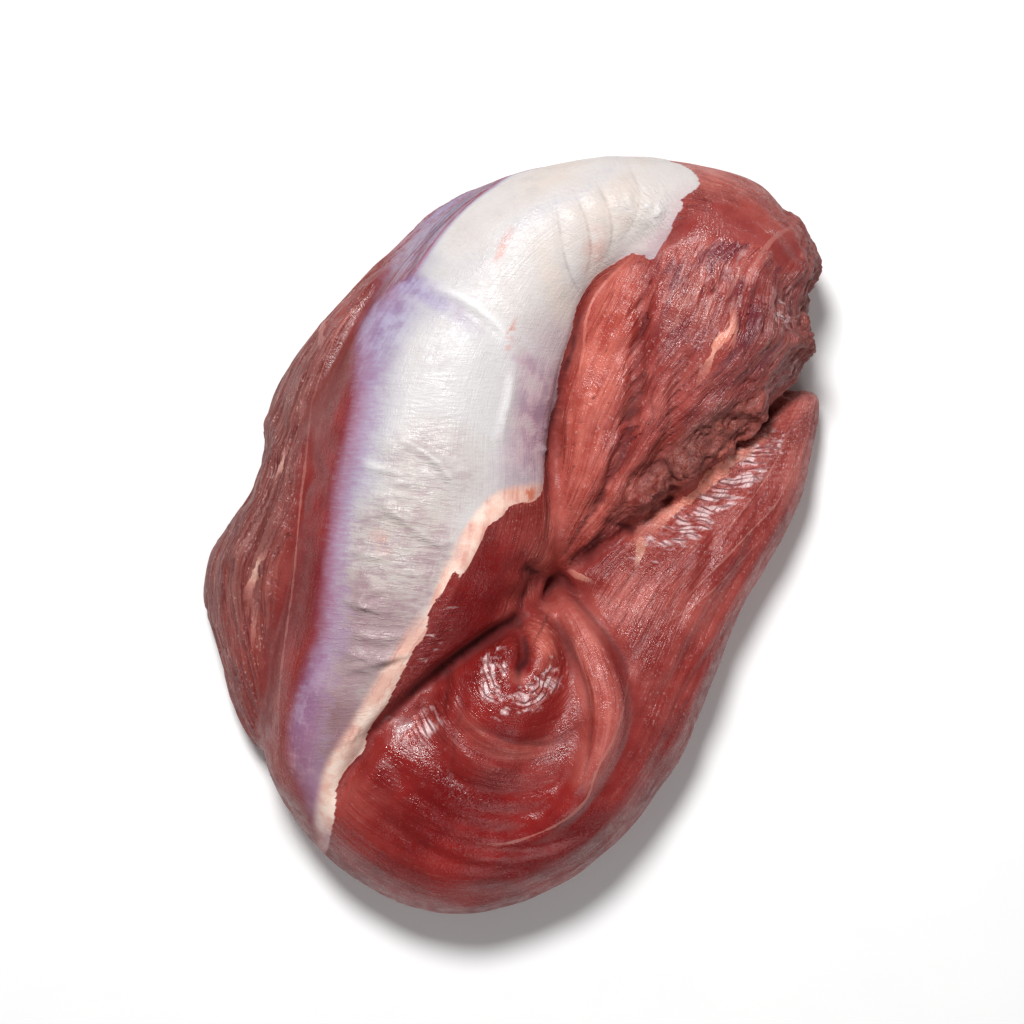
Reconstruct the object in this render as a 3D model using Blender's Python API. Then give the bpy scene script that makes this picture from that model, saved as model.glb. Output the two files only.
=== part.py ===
"""Whole veal tenderloin, untrimmed, folded into a U as it lies on the counter.

One muscle, one solid. The thick loin limb runs up the left, its head turns over at the top and hangs
down the middle, the lower end bends round and comes back up the right as the tapering tail, and the
thin side strap lies along the outside of the loin. Tables are in millimetres, the mesh in metres.

Frame: +Y runs from the bend to the head, +X from the side strap to the tail, +Z up. The origin is the
middle of the footprint, on the surface that the meat rests on.
"""

import math

import bmesh
import bpy
import numpy as np
from mathutils import Matrix, Vector, noise

MM = 0.001
LENGTH = 241.0
WIDTH = 160.0
HEIGHT = 64.0

RING_POINTS = 72
STEPS_PER_STATION = 7
END_RINGS = 5
END_REACH = 0.3
UNDER_POWER = 0.78
STRAND_DRIFT = 45.0
SINK = 5.0
VOXEL = 1.6
TRIANGLES = 10400
FOOT_BAND = 0.15
# The finer strands between the coarse ones: how many more, how deep beside them, and their own offset.
FINE_STRANDS = 2.3
FINE_SHARE = 0.4
FINE_OFFSET = (7, 3, 1)

# A station is the two plan points where a muscle's edges are, and the height of its crown between them:
# (edge a x, edge a y, edge b x, edge b y, crown).
LOIN = (
    (-11, -112, 2, -99, 36),
    (-24, -107, 4, -91, 45),
    (-34, -95, 6, -75, 53),
    (-43, -76, 13, -46, 60),
    (-51, -53, 21, -22, 63),
    (-59, -26, 18, 4, 64),
    (-65, -4, 5, 29, 64),
    (-67, 23, 0, 51, 63),
    (-63, 52, 0, 71, 61),
    (-52, 82, 6, 81, 60),
    (-29, 103, 13, 86, 59),
    (-5, 115, 20, 91, 57),
    (12, 120, 25, 91, 54),
    (25, 120, 29, 90, 52),
    (34, 115, 32, 88, 50),
    (42, 107, 34, 84, 47),
)
HEAD = (
    (15, -8, 24, -12, 32),
    (9, 2, 30, 0, 42),
    (3, 17, 38, 19, 49),
    (-4, 32, 44, 37, 53),
    (-9, 50, 51, 53, 56),
    (-11, 66, 58, 68, 58),
    (-11, 80, 57, 82, 58),
    (-9, 91, 51, 94, 57),
    (-2, 99, 50, 102, 54),
)
TAIL = (
    (-28, -97, 2, -56, 46),
    (-21, -110, 11, -49, 50),
    (-3, -118, 19, -45, 52),
    (23, -121, 23, -40, 52),
    (45, -114, 25, -37, 51),
    (64, -96, 26, -33, 50),
    (76, -72, 25, -29, 49),
    (80, -46, 22, -24, 47),
    (79, -21, 20, -16, 45),
    (77, 1, 23, -3, 43),
    (78, 22, 30, 11, 40),
    (77, 44, 38, 27, 35),
    (73, 61, 47, 46, 30),
    (69, 72, 54, 62, 24),
)
STRAP = (
    (-35, 97, -28, 89, 22),
    (-51, 84, -39, 75, 29),
    (-60, 70, -44, 61, 34),
    (-65, 55, -49, 50, 38),
    (-74, 33, -53, 32, 41),
    (-78, 12, -52, 13, 43),
    (-77, -9, -48, -5, 44),
    (-72, -30, -42, -22, 44),
    (-75, -52, -34, -42, 42),
    (-69, -67, -28, -57, 39),
    (-57, -80, -24, -73, 35),
    (-47, -90, -20, -83, 31),
    (-37, -98, -14, -90, 27),
)
# The coiled inside of the bend: a dome, and the rope of muscle that runs round its right side.
DOME = (
    (15, -27, 31, -21, 42),
    (5, -37, 40, -29, 52),
    (-2, -48, 47, -41, 57),
    (-4, -59, 49, -55, 58),
    (1, -71, 47, -70, 56),
    (10, -82, 41, -82, 51),
)
ROPE = (
    (20, -18, 25, -11, 34),
    (28, -26, 36, -14, 45),
    (36, -36, 50, -22, 52),
    (43, -46, 60, -33, 54),
    (47, -58, 64, -50, 54),
    (46, -71, 63, -69, 52),
    (38, -84, 58, -88, 47),
)
# Fills the hollow under the muscles where they lie against each other, inside of their outlines.
CORE = (
    (-8, -104, 34, -104, 30),
    (-26, -88, 54, -88, 34),
    (-50, -60, 63, -60, 34),
    (-62, -20, 66, -20, 32),
    (-60, 20, 66, 20, 30),
    (-54, 45, 64, 45, 27),
    (-44, 70, 50, 70, 34),
    (-24, 95, 42, 95, 36),
    (-6, 106, 34, 106, 32),
)
# Stations, waist height, squareness, lean of the crown towards edge b, strands round it, strand depth.
MUSCLES = (
    (LOIN, 20, 2.35, 0.0, 1.3, 0.9),
    (HEAD, 22, 2.6, 0.0, 2.6, 2.2),
    (TAIL, 17, 2.25, 0.0, 2.2, 1.4),
    (STRAP, 14, 2.05, 0.3, 2.6, 2.6),
    (DOME, 18, 2.1, 0.0, 2.0, 1.2),
    (ROPE, 18, 2.2, 0.0, 1.6, 0.8),
    (CORE, 10, 4.0, 0.0, 1.0, 0.0),
)
# Flaps of torn muscle on the head's cut edge: centre, radii and turn about +Z in degrees.
TAGS = (
    (41, 101, 40, 10, 6, 12, 30),
    (43, 93, 26, 9, 7, 14, -10),
    (48, 80, 43, 10, 4, 8, 25),
    (50, 73, 30, 9, 7, 13, -20),
    (50, 62, 41, 9, 4, 7, -50),
    (40, 35, 43, 7, 5, 6, 35),
    (33, 21, 42, 8, 4, 5, 40),
)
# Where the cut muscle is rough: plan centre, radius, height of the lumps and their spacing.
ROUGH = (
    (48, 90, 26, 2.8, 6),
    (46, 52, 19, 3.0, 6),
    (34, 20, 15, 2.2, 5),
    (-72, -20, 30, 1.4, 7),
)
UNEVEN = ((0.9, 24), (0.45, 10))

# Creases pressed into the upper side: plan points, depth and half-width.
FOLDS = (
    (((4, 81), (9, 68), (14, 54), (20, 39), (23, 23), (23, 8), (22, -6)), 4.0, 2.3),
    (((25, 60), (31, 44), (32, 28), (29, 12)), 3.0, 2.2),
    (((43, 82), (38, 60), (35, 44), (33, 30)), 1.8, 2.0),
    (((49, 88), (46, 70), (40, 52)), 1.6, 1.8),
    (((19, -31), (23, -35), (26, -40), (27, -47)), 6.5, 1.9),
    (((12, -62), (23, -66), (35, -65), (43, -59), (47, -50)), 1.5, 2.2),
    (((4, -51), (6, -60), (11, -69)), 1.2, 2.2),
    (((13, -68), (18, -75), (27, -80)), 1.0, 1.9),
    (((11, -27), (17, -19), (25, -14), (34, -11)), 7.0, 3.2),
    (((-2, -66), (-5, -80), (-6, -92), (-5, -101)), 3.4, 2.6),
    (((-61, 44), (-49, 46), (-36, 46), (-23, 44), (-8, 40)), 1.2, 3.2),
    (((50, 36), (57, 22), (60, 6), (58, -14)), 1.5, 1.9),
    (((62, 44), (68, 26), (69, 4), (66, -20), (62, -40)), 1.5, 1.9),
    (((42, 20), (46, 8), (45, -6), (40, -14)), 1.2, 1.7),
    (((-60, 52), (-65, 20), (-66, -12), (-62, -42), (-50, -68)), 1.5, 2.4),
    (((-72, 8), (-73, -20), (-70, -48), (-60, -68)), 1.8, 1.9),
)
# Raised lines, in the same form: the fat seam down the head, the tail's rim, the skin's edge.
RIDGES = (
    (((34, 108), (32, 98), (33, 84), (33, 70), (33, 62)), 1.5, 1.9),
    (((53, 54), (44, 38), (37, 24), (33, 14)), 2.0, 2.3),
    (((6, 111), (6, 100), (4, 90), (-1, 82), (-8, 74)), 1.0, 1.8),
    (((9, 4), (1, 1), (-4, -14), (-3, -36), (-3, -56)), 0.9, 2.0),
)
# Rings of wrinkles round the inside of the bend: radius, then where they start and stop in degrees.
BEND_CENTRE = (25.0, -47.0)
BEND_RINGS = ((30, -118, -30), (36, -104, -8), (41, -124, -40), (47, -96, -14), (53, -116, -52))
RING_DEPTH = 1.0
RING_WIDTH = 1.9
LINE_STEPS = 12
ARC_POINTS = 9
# How fast a fold fades where the skin turns down, and a rough zone towards its rim.
FACING_FADE = 2.2
ZONE_FADE = 1.6
# Where the skin runs on from one muscle to the next with no crease: plan centre and radius.
BLENDS = (
    (2, 100, 24),
    (26, 112, 16),
    (44, 104, 11),
    (-14, -106, 16),
    (-42, 82, 13),
    (28, -86, 24),
)
BLEND_PASSES = 48
BLEND_STEPS = 6
BLEND_NARROWING = 0.4
BLEND_FLOOR = 4.0
SOFTEN_PASSES = 3

MEAT = (0.30, 0.030, 0.028, 1.0)
MEAT_ROUGHNESS = 0.3


def clear_scene():
    for old in list(bpy.data.objects):
        bpy.data.objects.remove(old, do_unlink=True)


def smooth_through(rows, steps):
    """Catmull-Rom curve through the rows, with steps points from each row to the next."""
    rows = np.array(rows, float)
    padded = np.vstack([2 * rows[0] - rows[1], rows, 2 * rows[-1] - rows[-2]])
    out = []
    for i in range(len(rows) - 1):
        p0, p1, p2, p3 = padded[i : i + 4]
        for t in np.arange(steps) / steps:
            bend = (2 * p0 - 5 * p1 + 4 * p2 - p3) * t**2 + (3 * p1 - p0 - 3 * p2 + p3) * t**3
            out.append(0.5 * (2 * p1 + (p2 - p0) * t + bend))
    out.append(rows[-1])
    return np.array(out)


def section(station, waist, power, lean):
    """Closed ring of points across a muscle: a rounded crown over an underside that sinks below z = 0."""
    ax, ay, bx, by, crown = station
    waist = min(waist, 0.5 * crown)
    angle = np.linspace(0, 2 * math.pi, RING_POINTS, endpoint=False)
    c, s = np.cos(angle), np.sin(angle)
    across = np.sign(c) * np.abs(c) ** (2 / power)
    rise = np.abs(s) ** (2 / power)
    under = np.abs(s) ** UNDER_POWER
    z = np.where(s >= 0, waist + (crown - waist) * rise, waist - (waist + SINK) * under)
    share = (1 + across + lean * np.where(s > 0, rise, 0) * (1 - across**2)) / 2
    return np.stack([ax + (bx - ax) * share, ay + (by - ay) * share, z], axis=1)


def stranded(ring, along, strands, depth):
    """The ring with the muscle's long strands in it, which follow the loft and drift as they go."""
    middle = ring.mean(axis=0)
    out = ring - middle
    for j in range(RING_POINTS):
        turn = 2 * math.pi * j / RING_POINTS
        where = Vector((strands * math.cos(turn), strands * math.sin(turn), along / STRAND_DRIFT))
        finer = noise.noise(where * FINE_STRANDS + Vector(FINE_OFFSET))
        lift = noise.noise(where) + FINE_SHARE * finer
        out[j] *= 1 + depth * lift / np.linalg.norm(out[j])
    return middle + out


def end_rings(ring, inner):
    """Rings that round off the end of a muscle, from its last ring outwards, and the pole they close on."""
    middle = ring.mean(axis=0)
    outward = middle - inner.mean(axis=0)
    outward[2] = 0
    outward /= np.linalg.norm(outward)
    reach = END_REACH * np.ptp(ring[:, :2], axis=0).max()
    turns = [0.5 * math.pi * i / END_RINGS for i in range(1, END_RINGS)]
    rings = [middle + (ring - middle) * math.cos(t) + outward * reach * math.sin(t) for t in turns]
    return rings, middle + outward * reach


def extrude_ring(bm, ring):
    """Extrudes a closed ring of vertices once, and returns the new ring in the same order."""
    edges = [bm.edges.get((ring[j - 1], ring[j])) for j in range(len(ring))]
    grown = bmesh.ops.extrude_edge_only(bm, edges=edges)["geom"]
    new = {v for v in grown if isinstance(v, bmesh.types.BMVert)}
    return [next(e.other_vert(v) for e in v.link_edges if e.other_vert(v) in new) for v in ring]


def put(ring, points):
    for vert, point in zip(ring, points):
        vert.co = Vector(point) * MM


def add_muscle(bm, stations, waist, power, lean, strands, depth):
    """Adds one closed lofted muscle: a circle, extruded from ring to ring, with a pole at each end."""
    rings = [section(row, waist, power, lean) for row in smooth_through(stations, STEPS_PER_STATION)]
    start, first_pole = end_rings(rings[0], rings[1])
    finish, last_pole = end_rings(rings[-1], rings[-2])
    rings = start[::-1] + rings + finish
    middles = np.array([ring.mean(axis=0) for ring in rings])
    steps = np.linalg.norm(np.diff(middles, axis=0), axis=1)
    travelled = np.concatenate([[0], np.cumsum(steps)])
    rings = [stranded(ring, along, strands, depth) for ring, along in zip(rings, travelled)]
    circle = bmesh.ops.create_circle(bm, cap_ends=False, segments=RING_POINTS, radius=1.0)["verts"]
    first = last = circle
    put(last, rings[0])
    for points in rings[1:]:
        last = extrude_ring(bm, last)
        put(last, points)
    for ring, pole in ((first, first_pole), (last, last_pole)):
        tip = extrude_ring(bm, ring)
        bmesh.ops.pointmerge(bm, verts=tip, merge_co=Vector(pole) * MM)


def add_tag(bm, x, y, z, rx, ry, rz, turn):
    place = Matrix.Translation(Vector((x, y, z)) * MM) @ Matrix.Rotation(math.radians(turn), 4, "Z")
    place = place @ Matrix.Diagonal((rx * MM, ry * MM, rz * MM, 1))
    bmesh.ops.create_icosphere(bm, subdivisions=3, radius=1.0, matrix=place)


def mesh_object(name, bm):
    mesh = bpy.data.meshes.new(name)
    bm.to_mesh(mesh)
    bm.free()
    made = bpy.data.objects.new(name, mesh)
    bpy.context.scene.collection.objects.link(made)
    return made


def bake_modifiers(obj):
    """Replaces the object's mesh with what its modifiers make of it."""
    bpy.context.view_layer.update()
    evaluated = obj.evaluated_get(bpy.context.evaluated_depsgraph_get())
    mesh = bpy.data.meshes.new_from_object(evaluated)
    obj.modifiers.clear()
    obj.data = mesh


def fuse(obj):
    """One skin over all the overlapping muscles."""
    remesh = obj.modifiers.new("skin", "REMESH")
    remesh.mode = "VOXEL"
    remesh.voxel_size = VOXEL * MM
    bake_modifiers(obj)


def smooth_once(bm, verts):
    bmesh.ops.smooth_vert(bm, verts=verts, factor=0.5, use_axis_x=True, use_axis_y=True, use_axis_z=True)


def soften(obj, zones):
    """Takes the steps out of the skin, and closes the creases in the zones where the muscle runs on."""
    bm = bmesh.new()
    bm.from_mesh(obj.data)
    for _ in range(SOFTEN_PASSES):
        smooth_once(bm, bm.verts[:])
    for x, y, radius in zones:
        centre = Vector((x, y)) * MM
        for step in range(BLEND_STEPS):
            reach = radius * MM * (1 - BLEND_NARROWING * step / BLEND_STEPS)
            near = [v for v in bm.verts if v.co.z > BLEND_FLOOR * MM and (v.co.xy - centre).length < reach]
            for _ in range(BLEND_PASSES // BLEND_STEPS):
                smooth_once(bm, near)
    bm.to_mesh(obj.data)
    bm.free()


def away_from(points, line):
    """Each point's distance in plan to the smooth line, and the share of the line where it is nearest."""
    curve = smooth_through(line, LINE_STEPS)
    gaps = np.linalg.norm(points[:, None, :2] - curve[None, :, :2], axis=2)
    return gaps.min(axis=1), gaps.argmin(axis=1) / (len(curve) - 1)


def arc(radius, start, stop):
    turns = np.radians(np.linspace(start, stop, ARC_POINTS))
    return [(BEND_CENTRE[0] + radius * math.cos(t), BEND_CENTRE[1] + radius * math.sin(t)) for t in turns]


def read_skin(obj):
    """The mesh's points and normals, in millimetres."""
    count = len(obj.data.vertices)
    points, normals = np.empty(count * 3), np.empty(count * 3)
    obj.data.vertices.foreach_get("co", points)
    obj.data.vertices.foreach_get("normal", normals)
    return points.reshape(-1, 3) / MM, normals.reshape(-1, 3)


def write_skin(obj, points):
    obj.data.vertices.foreach_set("co", (points * MM).astype(np.float32).ravel())
    obj.data.update()


def lumps(points, spacing):
    return np.array([noise.noise(Vector(p) / spacing) for p in points])


def emboss(obj):
    """Presses the folds into the upper side and raises the ridges, each fading out at its ends."""
    points, normals = read_skin(obj)
    facing = np.clip(normals[:, 2] * FACING_FADE, 0, 1)
    lines = [(line, -depth, width) for line, depth, width in FOLDS]
    lines += [(arc(*ring), -RING_DEPTH, RING_WIDTH) for ring in BEND_RINGS]
    lines += RIDGES
    lift = np.zeros(len(points))
    for line, height, width in lines:
        gap, share = away_from(points, line)
        fade = np.sin(math.pi * np.clip(share, 0.02, 0.98)) ** 0.5
        lift += height * fade * np.exp(-((gap / width) ** 2))
    points[:, 2] += lift * facing
    write_skin(obj, points)


def roughen(obj):
    """Low unevenness all over, and coarser lumps where the muscle was cut."""
    points, normals = read_skin(obj)
    lift = np.zeros(len(points))
    for height, spacing in UNEVEN:
        lift += height * lumps(points, spacing)
    for x, y, radius, height, spacing in ROUGH:
        gap = np.hypot(points[:, 0] - x, points[:, 1] - y)
        near = gap < radius
        zone = np.clip(ZONE_FADE * (1 - gap[near] / radius), 0, 1)
        lift[near] += height * zone * lumps(points[near], spacing)
    write_skin(obj, points + normals * lift[:, None])


def cut_foot(obj):
    """Slices the underside off flat at z = 0, where the meat's weight spreads it on the counter."""
    bm = bmesh.new()
    bm.from_mesh(obj.data)
    everything = bm.verts[:] + bm.edges[:] + bm.faces[:]
    cut = bmesh.ops.bisect_plane(
        bm, geom=everything, dist=1e-5, plane_co=(0, 0, 0), plane_no=(0, 0, -1), clear_outer=True
    )
    edges = [e for e in cut["geom_cut"] if isinstance(e, bmesh.types.BMEdge)]
    bmesh.ops.triangle_fill(bm, edges=edges, use_beauty=True)
    bmesh.ops.triangulate(bm, faces=bm.faces)
    bmesh.ops.recalc_face_normals(bm, faces=bm.faces)
    bm.to_mesh(obj.data)
    bm.free()


def thin_out(obj):
    """Brings the skin down to its triangle budget, keeping the most where it curves the most."""
    decimate = obj.modifiers.new("budget", "DECIMATE")
    decimate.ratio = TRIANGLES / len(obj.data.polygons)
    bake_modifiers(obj)


def centre_on_foot(obj):
    """Scales the last fraction of a per cent, so that the size is the named one, and levels the foot."""
    points, _ = read_skin(obj)
    points[:, 2] = np.where(points[:, 2] < FOOT_BAND, 0, points[:, 2])
    low, high = points.min(axis=0), points.max(axis=0)
    middle = (low + high) / 2 * (1, 1, 0)
    write_skin(obj, (points - middle) * (WIDTH, LENGTH, HEIGHT) / (high - low))


def raw_meat():
    made = bpy.data.materials.new("raw_veal")
    made.use_nodes = True
    shader = made.node_tree.nodes["Principled BSDF"]
    shader.inputs["Base Color"].default_value = MEAT
    shader.inputs["Roughness"].default_value = MEAT_ROUGHNESS
    return made


def build_tenderloin():
    bm = bmesh.new()
    for muscle in MUSCLES:
        add_muscle(bm, *muscle)
    for tag in TAGS:
        add_tag(bm, *tag)
    bmesh.ops.recalc_face_normals(bm, faces=bm.faces)
    obj = mesh_object("tenderloin", bm)
    fuse(obj)
    soften(obj, BLENDS)
    emboss(obj)
    roughen(obj)
    fuse(obj)
    soften(obj, ())
    cut_foot(obj)
    thin_out(obj)
    centre_on_foot(obj)
    obj.data.materials.append(raw_meat())
    obj.data.shade_smooth()
    return obj


clear_scene()
meat = build_tenderloin()
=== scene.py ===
"""Whole veal tenderloin, raw and untrimmed, folded into a U as it lies on the counter.

The operators build the meat and the stage round it. The meat is one closed skin: each muscle is lofted,
the lofts are fused, folds are pressed in, and then the surface gets its strands, wrinkles and torn edge.
Every point of the skin also knows its place along and across its muscle, and how far it is from the edges
of the silverskin and of the fat, which is what the material reads.

Tables are in millimetres, the meshes in metres. +Y runs from the bend to the head, +X from the side strap
to the tail, +Z up, and z = 0 is the surface that the meat rests on.
"""

import math

import bmesh
import bpy
import numpy as np
from bpy.props import FloatProperty, FloatVectorProperty, PointerProperty
from bpy.types import Operator, Panel, PropertyGroup
from mathutils import Matrix, Vector, kdtree, noise


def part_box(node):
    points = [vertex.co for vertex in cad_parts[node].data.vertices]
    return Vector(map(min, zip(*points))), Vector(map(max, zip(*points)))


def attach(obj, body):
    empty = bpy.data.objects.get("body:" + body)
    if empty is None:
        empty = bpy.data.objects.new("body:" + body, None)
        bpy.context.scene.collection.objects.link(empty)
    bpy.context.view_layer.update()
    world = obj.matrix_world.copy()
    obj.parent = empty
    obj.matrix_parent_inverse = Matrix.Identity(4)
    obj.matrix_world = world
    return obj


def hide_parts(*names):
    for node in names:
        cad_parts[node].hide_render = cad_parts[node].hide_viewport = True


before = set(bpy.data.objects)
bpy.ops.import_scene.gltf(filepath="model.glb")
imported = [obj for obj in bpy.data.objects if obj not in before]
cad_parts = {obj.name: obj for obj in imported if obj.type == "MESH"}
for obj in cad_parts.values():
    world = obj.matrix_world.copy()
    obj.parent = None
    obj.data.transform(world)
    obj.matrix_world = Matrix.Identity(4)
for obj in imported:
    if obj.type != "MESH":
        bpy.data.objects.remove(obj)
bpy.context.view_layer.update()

bl_info = {
    "name": "Veal tenderloin",
    "version": (1, 0, 0),
    "blender": (4, 5, 0),
    "location": "View3D > Sidebar > Meat",
    "description": "Builds a raw veal tenderloin and a plain studio stage for it",
    "category": "Add Mesh",
}

MM = 0.001
TINY = 1e-9

# How finely a muscle is lofted, how its ends and its underside are rounded, and the strands round it.
RING_POINTS = 112
STEPS_PER_STATION = 8
END_RINGS = 5
END_REACH = 0.3
UNDER_POWER = 0.78
STRAND_DRIFT = 45.0
FINE_STRANDS = 2.3
FINE_SHARE = 0.4
FINE_OFFSET = (7, 3, 1)
SINK = 5.0
# Skin lower than this, in millimetres, is level with the counter, and the slice through it merges points
# that are nearer than this, in metres.
FOOT_BAND = 0.15
FOOT_MERGE = 1e-5

# A station is the two plan points where a muscle's edges are, and the height of its crown between them:
# (edge a x, edge a y, edge b x, edge b y, crown).
LOIN = (
    (-11, -112, 2, -99, 36),
    (-24, -107, 4, -91, 45),
    (-34, -95, 6, -75, 53),
    (-43, -76, 13, -46, 60),
    (-51, -53, 21, -22, 63),
    (-59, -26, 18, 4, 64),
    (-65, -4, 5, 29, 64),
    (-67, 23, 0, 51, 63),
    (-63, 52, 0, 71, 61),
    (-52, 82, 6, 81, 60),
    (-29, 103, 13, 86, 59),
    (-5, 115, 20, 91, 57),
    (12, 120, 25, 91, 54),
    (25, 120, 29, 90, 52),
    (34, 115, 32, 88, 50),
    (42, 107, 34, 84, 47),
)
HEAD = (
    (15, -8, 24, -12, 32),
    (9, 2, 30, 0, 42),
    (3, 17, 38, 19, 49),
    (-4, 32, 44, 37, 53),
    (-9, 50, 51, 53, 56),
    (-11, 66, 58, 68, 58),
    (-11, 80, 57, 82, 58),
    (-9, 91, 51, 94, 57),
    (-2, 99, 50, 102, 54),
)
TAIL = (
    (-28, -97, 2, -56, 46),
    (-21, -110, 11, -49, 50),
    (-3, -118, 19, -45, 52),
    (23, -121, 23, -40, 52),
    (45, -114, 25, -37, 51),
    (64, -96, 26, -33, 50),
    (76, -72, 25, -29, 49),
    (80, -46, 22, -24, 47),
    (79, -21, 20, -16, 45),
    (77, 1, 23, -3, 43),
    (78, 22, 30, 11, 40),
    (77, 44, 38, 27, 35),
    (73, 61, 47, 46, 30),
    (69, 72, 54, 62, 24),
)
STRAP = (
    (-35, 97, -28, 89, 22),
    (-51, 84, -39, 75, 29),
    (-60, 70, -44, 61, 34),
    (-65, 55, -49, 50, 38),
    (-74, 33, -53, 32, 41),
    (-78, 12, -52, 13, 43),
    (-77, -9, -48, -5, 44),
    (-72, -30, -42, -22, 44),
    (-75, -52, -34, -42, 42),
    (-69, -67, -28, -57, 39),
    (-57, -80, -24, -73, 35),
    (-47, -90, -20, -83, 31),
    (-37, -98, -14, -90, 27),
)
# The coiled inside of the bend: a dome, and the rope of muscle that runs round its right side.
DOME = (
    (15, -27, 31, -21, 42),
    (5, -37, 40, -29, 52),
    (-2, -48, 47, -41, 57),
    (-4, -59, 49, -55, 58),
    (1, -71, 47, -70, 56),
    (10, -82, 41, -82, 51),
)
ROPE = (
    (20, -18, 25, -11, 34),
    (28, -26, 36, -14, 45),
    (36, -36, 50, -22, 52),
    (43, -46, 60, -33, 54),
    (47, -58, 64, -50, 54),
    (46, -71, 63, -69, 52),
    (38, -84, 58, -88, 47),
)
# Fills the hollow under the muscles where they lie against each other, inside of their outlines.
CORE = (
    (-8, -104, 34, -104, 30),
    (-26, -88, 54, -88, 34),
    (-50, -60, 63, -60, 34),
    (-62, -20, 66, -20, 32),
    (-60, 20, 66, 20, 30),
    (-54, 45, 64, 45, 27),
    (-44, 70, 50, 70, 34),
    (-24, 95, 42, 95, 36),
    (-6, 106, 34, 106, 32),
)
# Stations, waist height, squareness, lean of the crown towards edge b, strands round it, strand depth,
# and the girth that its across coordinate is measured on.
MUSCLES = (
    (LOIN, 20, 2.35, 0.0, 1.3, 0.9, 230),
    (HEAD, 22, 2.6, 0.0, 2.6, 2.2, 190),
    (TAIL, 17, 2.25, 0.0, 2.2, 1.4, 190),
    (STRAP, 14, 2.05, 0.3, 2.6, 2.6, 100),
    (DOME, 18, 2.1, 0.0, 2.0, 1.2, 150),
    (ROPE, 18, 2.2, 0.0, 1.6, 0.8, 80),
    (CORE, 10, 4.0, 0.0, 1.0, 0.0, 300),
)
TAIL_ID, DOME_ID, CORE_ID = 2, 4, 6

# Flaps of torn muscle on the head's cut edge: centre, radii and turn about +Z in degrees.
TAGS = (
    (41, 101, 40, 10, 6, 12, 30),
    (43, 93, 26, 9, 7, 14, -10),
    (48, 80, 43, 10, 4, 8, 25),
    (50, 73, 30, 9, 7, 13, -20),
    (50, 62, 41, 9, 4, 7, -50),
    (47, 103, 38, 6, 3, 8, 10),
    (36, 112, 38, 6, 3, 9, 55),
    (54, 84, 38, 6, 3, 8, -15),
    (40, 35, 43, 7, 5, 6, 35),
    (33, 21, 42, 8, 4, 5, 40),
    (47, 59, 35, 8, 12, 11, 15),
    (43, 48, 35, 8, 12, 11, 15),
    (39, 37, 34, 8, 12, 10, 15),
    (41, 33, 41, 5, 6, 5, 15),
)
# Where the cut muscle is rough: plan centre, radius, height of the lumps and their spacing.
ROUGH = (
    (48, 90, 26, 2.8, 6),
    (46, 52, 17, 2.2, 5),
    (34, 20, 15, 2.2, 5),
    (-72, -20, 30, 1.4, 7),
)
UNEVEN = ((0.9, 24), (0.45, 10))

# Creases pressed into the upper side: plan points, depth and half-width.
FOLDS = (
    (((4, 81), (9, 68), (14, 54), (20, 39), (23, 23), (23, 8), (22, -6)), 4.0, 2.3),
    (((25, 60), (31, 44), (32, 28), (29, 12)), 3.0, 2.2),
    (((43, 82), (38, 60), (35, 44), (33, 30)), 1.8, 2.0),
    (((49, 88), (46, 70), (40, 52)), 1.6, 1.8),
    (((17, -29), (21, -33), (24, -37), (26, -42)), 4.5, 1.6),
    (((12, -62), (23, -66), (35, -65), (43, -59), (47, -50)), 1.5, 2.2),
    (((4, -51), (6, -60), (11, -69)), 1.2, 2.2),
    (((13, -68), (18, -75), (27, -80)), 1.0, 1.9),
    (((11, -27), (17, -19), (25, -14), (34, -11)), 7.0, 3.2),
    (((-2, -66), (-5, -80), (-6, -92), (-5, -101)), 3.4, 2.6),
    (((-8, -80), (-2, -66), (3, -54), (10, -40), (16, -31), (21, -26)), 3.6, 1.7),
    (((-61, 44), (-49, 46), (-36, 46), (-23, 44), (-8, 40)), 1.2, 3.2),
    (((50, 36), (57, 22), (60, 6), (58, -14)), 1.5, 1.9),
    (((62, 44), (68, 26), (69, 4), (66, -20), (62, -40)), 1.5, 1.9),
    (((42, 20), (46, 8), (45, -6), (40, -14)), 1.2, 1.7),
    (((-60, 52), (-65, 20), (-66, -12), (-62, -42), (-50, -68)), 1.5, 2.4),
    (((-72, 8), (-73, -20), (-70, -48), (-60, -68)), 1.8, 1.9),
)
# Raised lines, in the same form: the fat seam down the head, the tail's rim, the skin's edge.
RIDGES = (
    (((34, 108), (32, 98), (33, 84), (33, 70), (33, 62)), 1.5, 1.9),
    (((53, 54), (44, 38), (37, 24), (33, 14)), 2.0, 2.3),
    (((60, 62), (54, 49), (49, 37), (44, 26), (39, 14)), 3.0, 3.0),
    (((6, 111), (6, 100), (4, 90), (-1, 82), (-8, 74)), 1.0, 1.8),
    (((9, 4), (1, 1), (-4, -14), (-3, -36), (-3, -56)), 0.9, 2.0),
    (((24, -27), (29, -31), (30, -38)), 1.8, 2.8),
    (((14, -30), (18, -36), (22, -43), (26, -47)), 1.0, 1.6),
    (((10, -64), (20, -70), (30, -69), (40, -63), (45, -55)), 1.2, 2.2),
)
# Rings of wrinkles round the inside of the bend: radius, then where they start and stop in degrees.
BEND_CENTRE = (25.0, -47.0)
BEND_RINGS = ((30, -118, -30), (36, -104, -8), (41, -124, -40), (47, -96, -14), (53, -116, -52))
RING_DEPTH = 1.0
RING_WIDTH = 1.9
FOLD_END = 0.02
ARC_POINTS = 9
# Steps from point to point of a line and how far its work reaches. A point further off than that is far
# across it, in half-widths, and far off, in millimetres.
LINE_STEPS = 12
LINE_REACH = 15
LINE_END = 0.03
FAR_ACROSS = 6.0
FAR_OFF = 99.0
# Where a line's own colour fades, in half-widths.
LINE_FADE = (1.6, 2.4)
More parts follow.
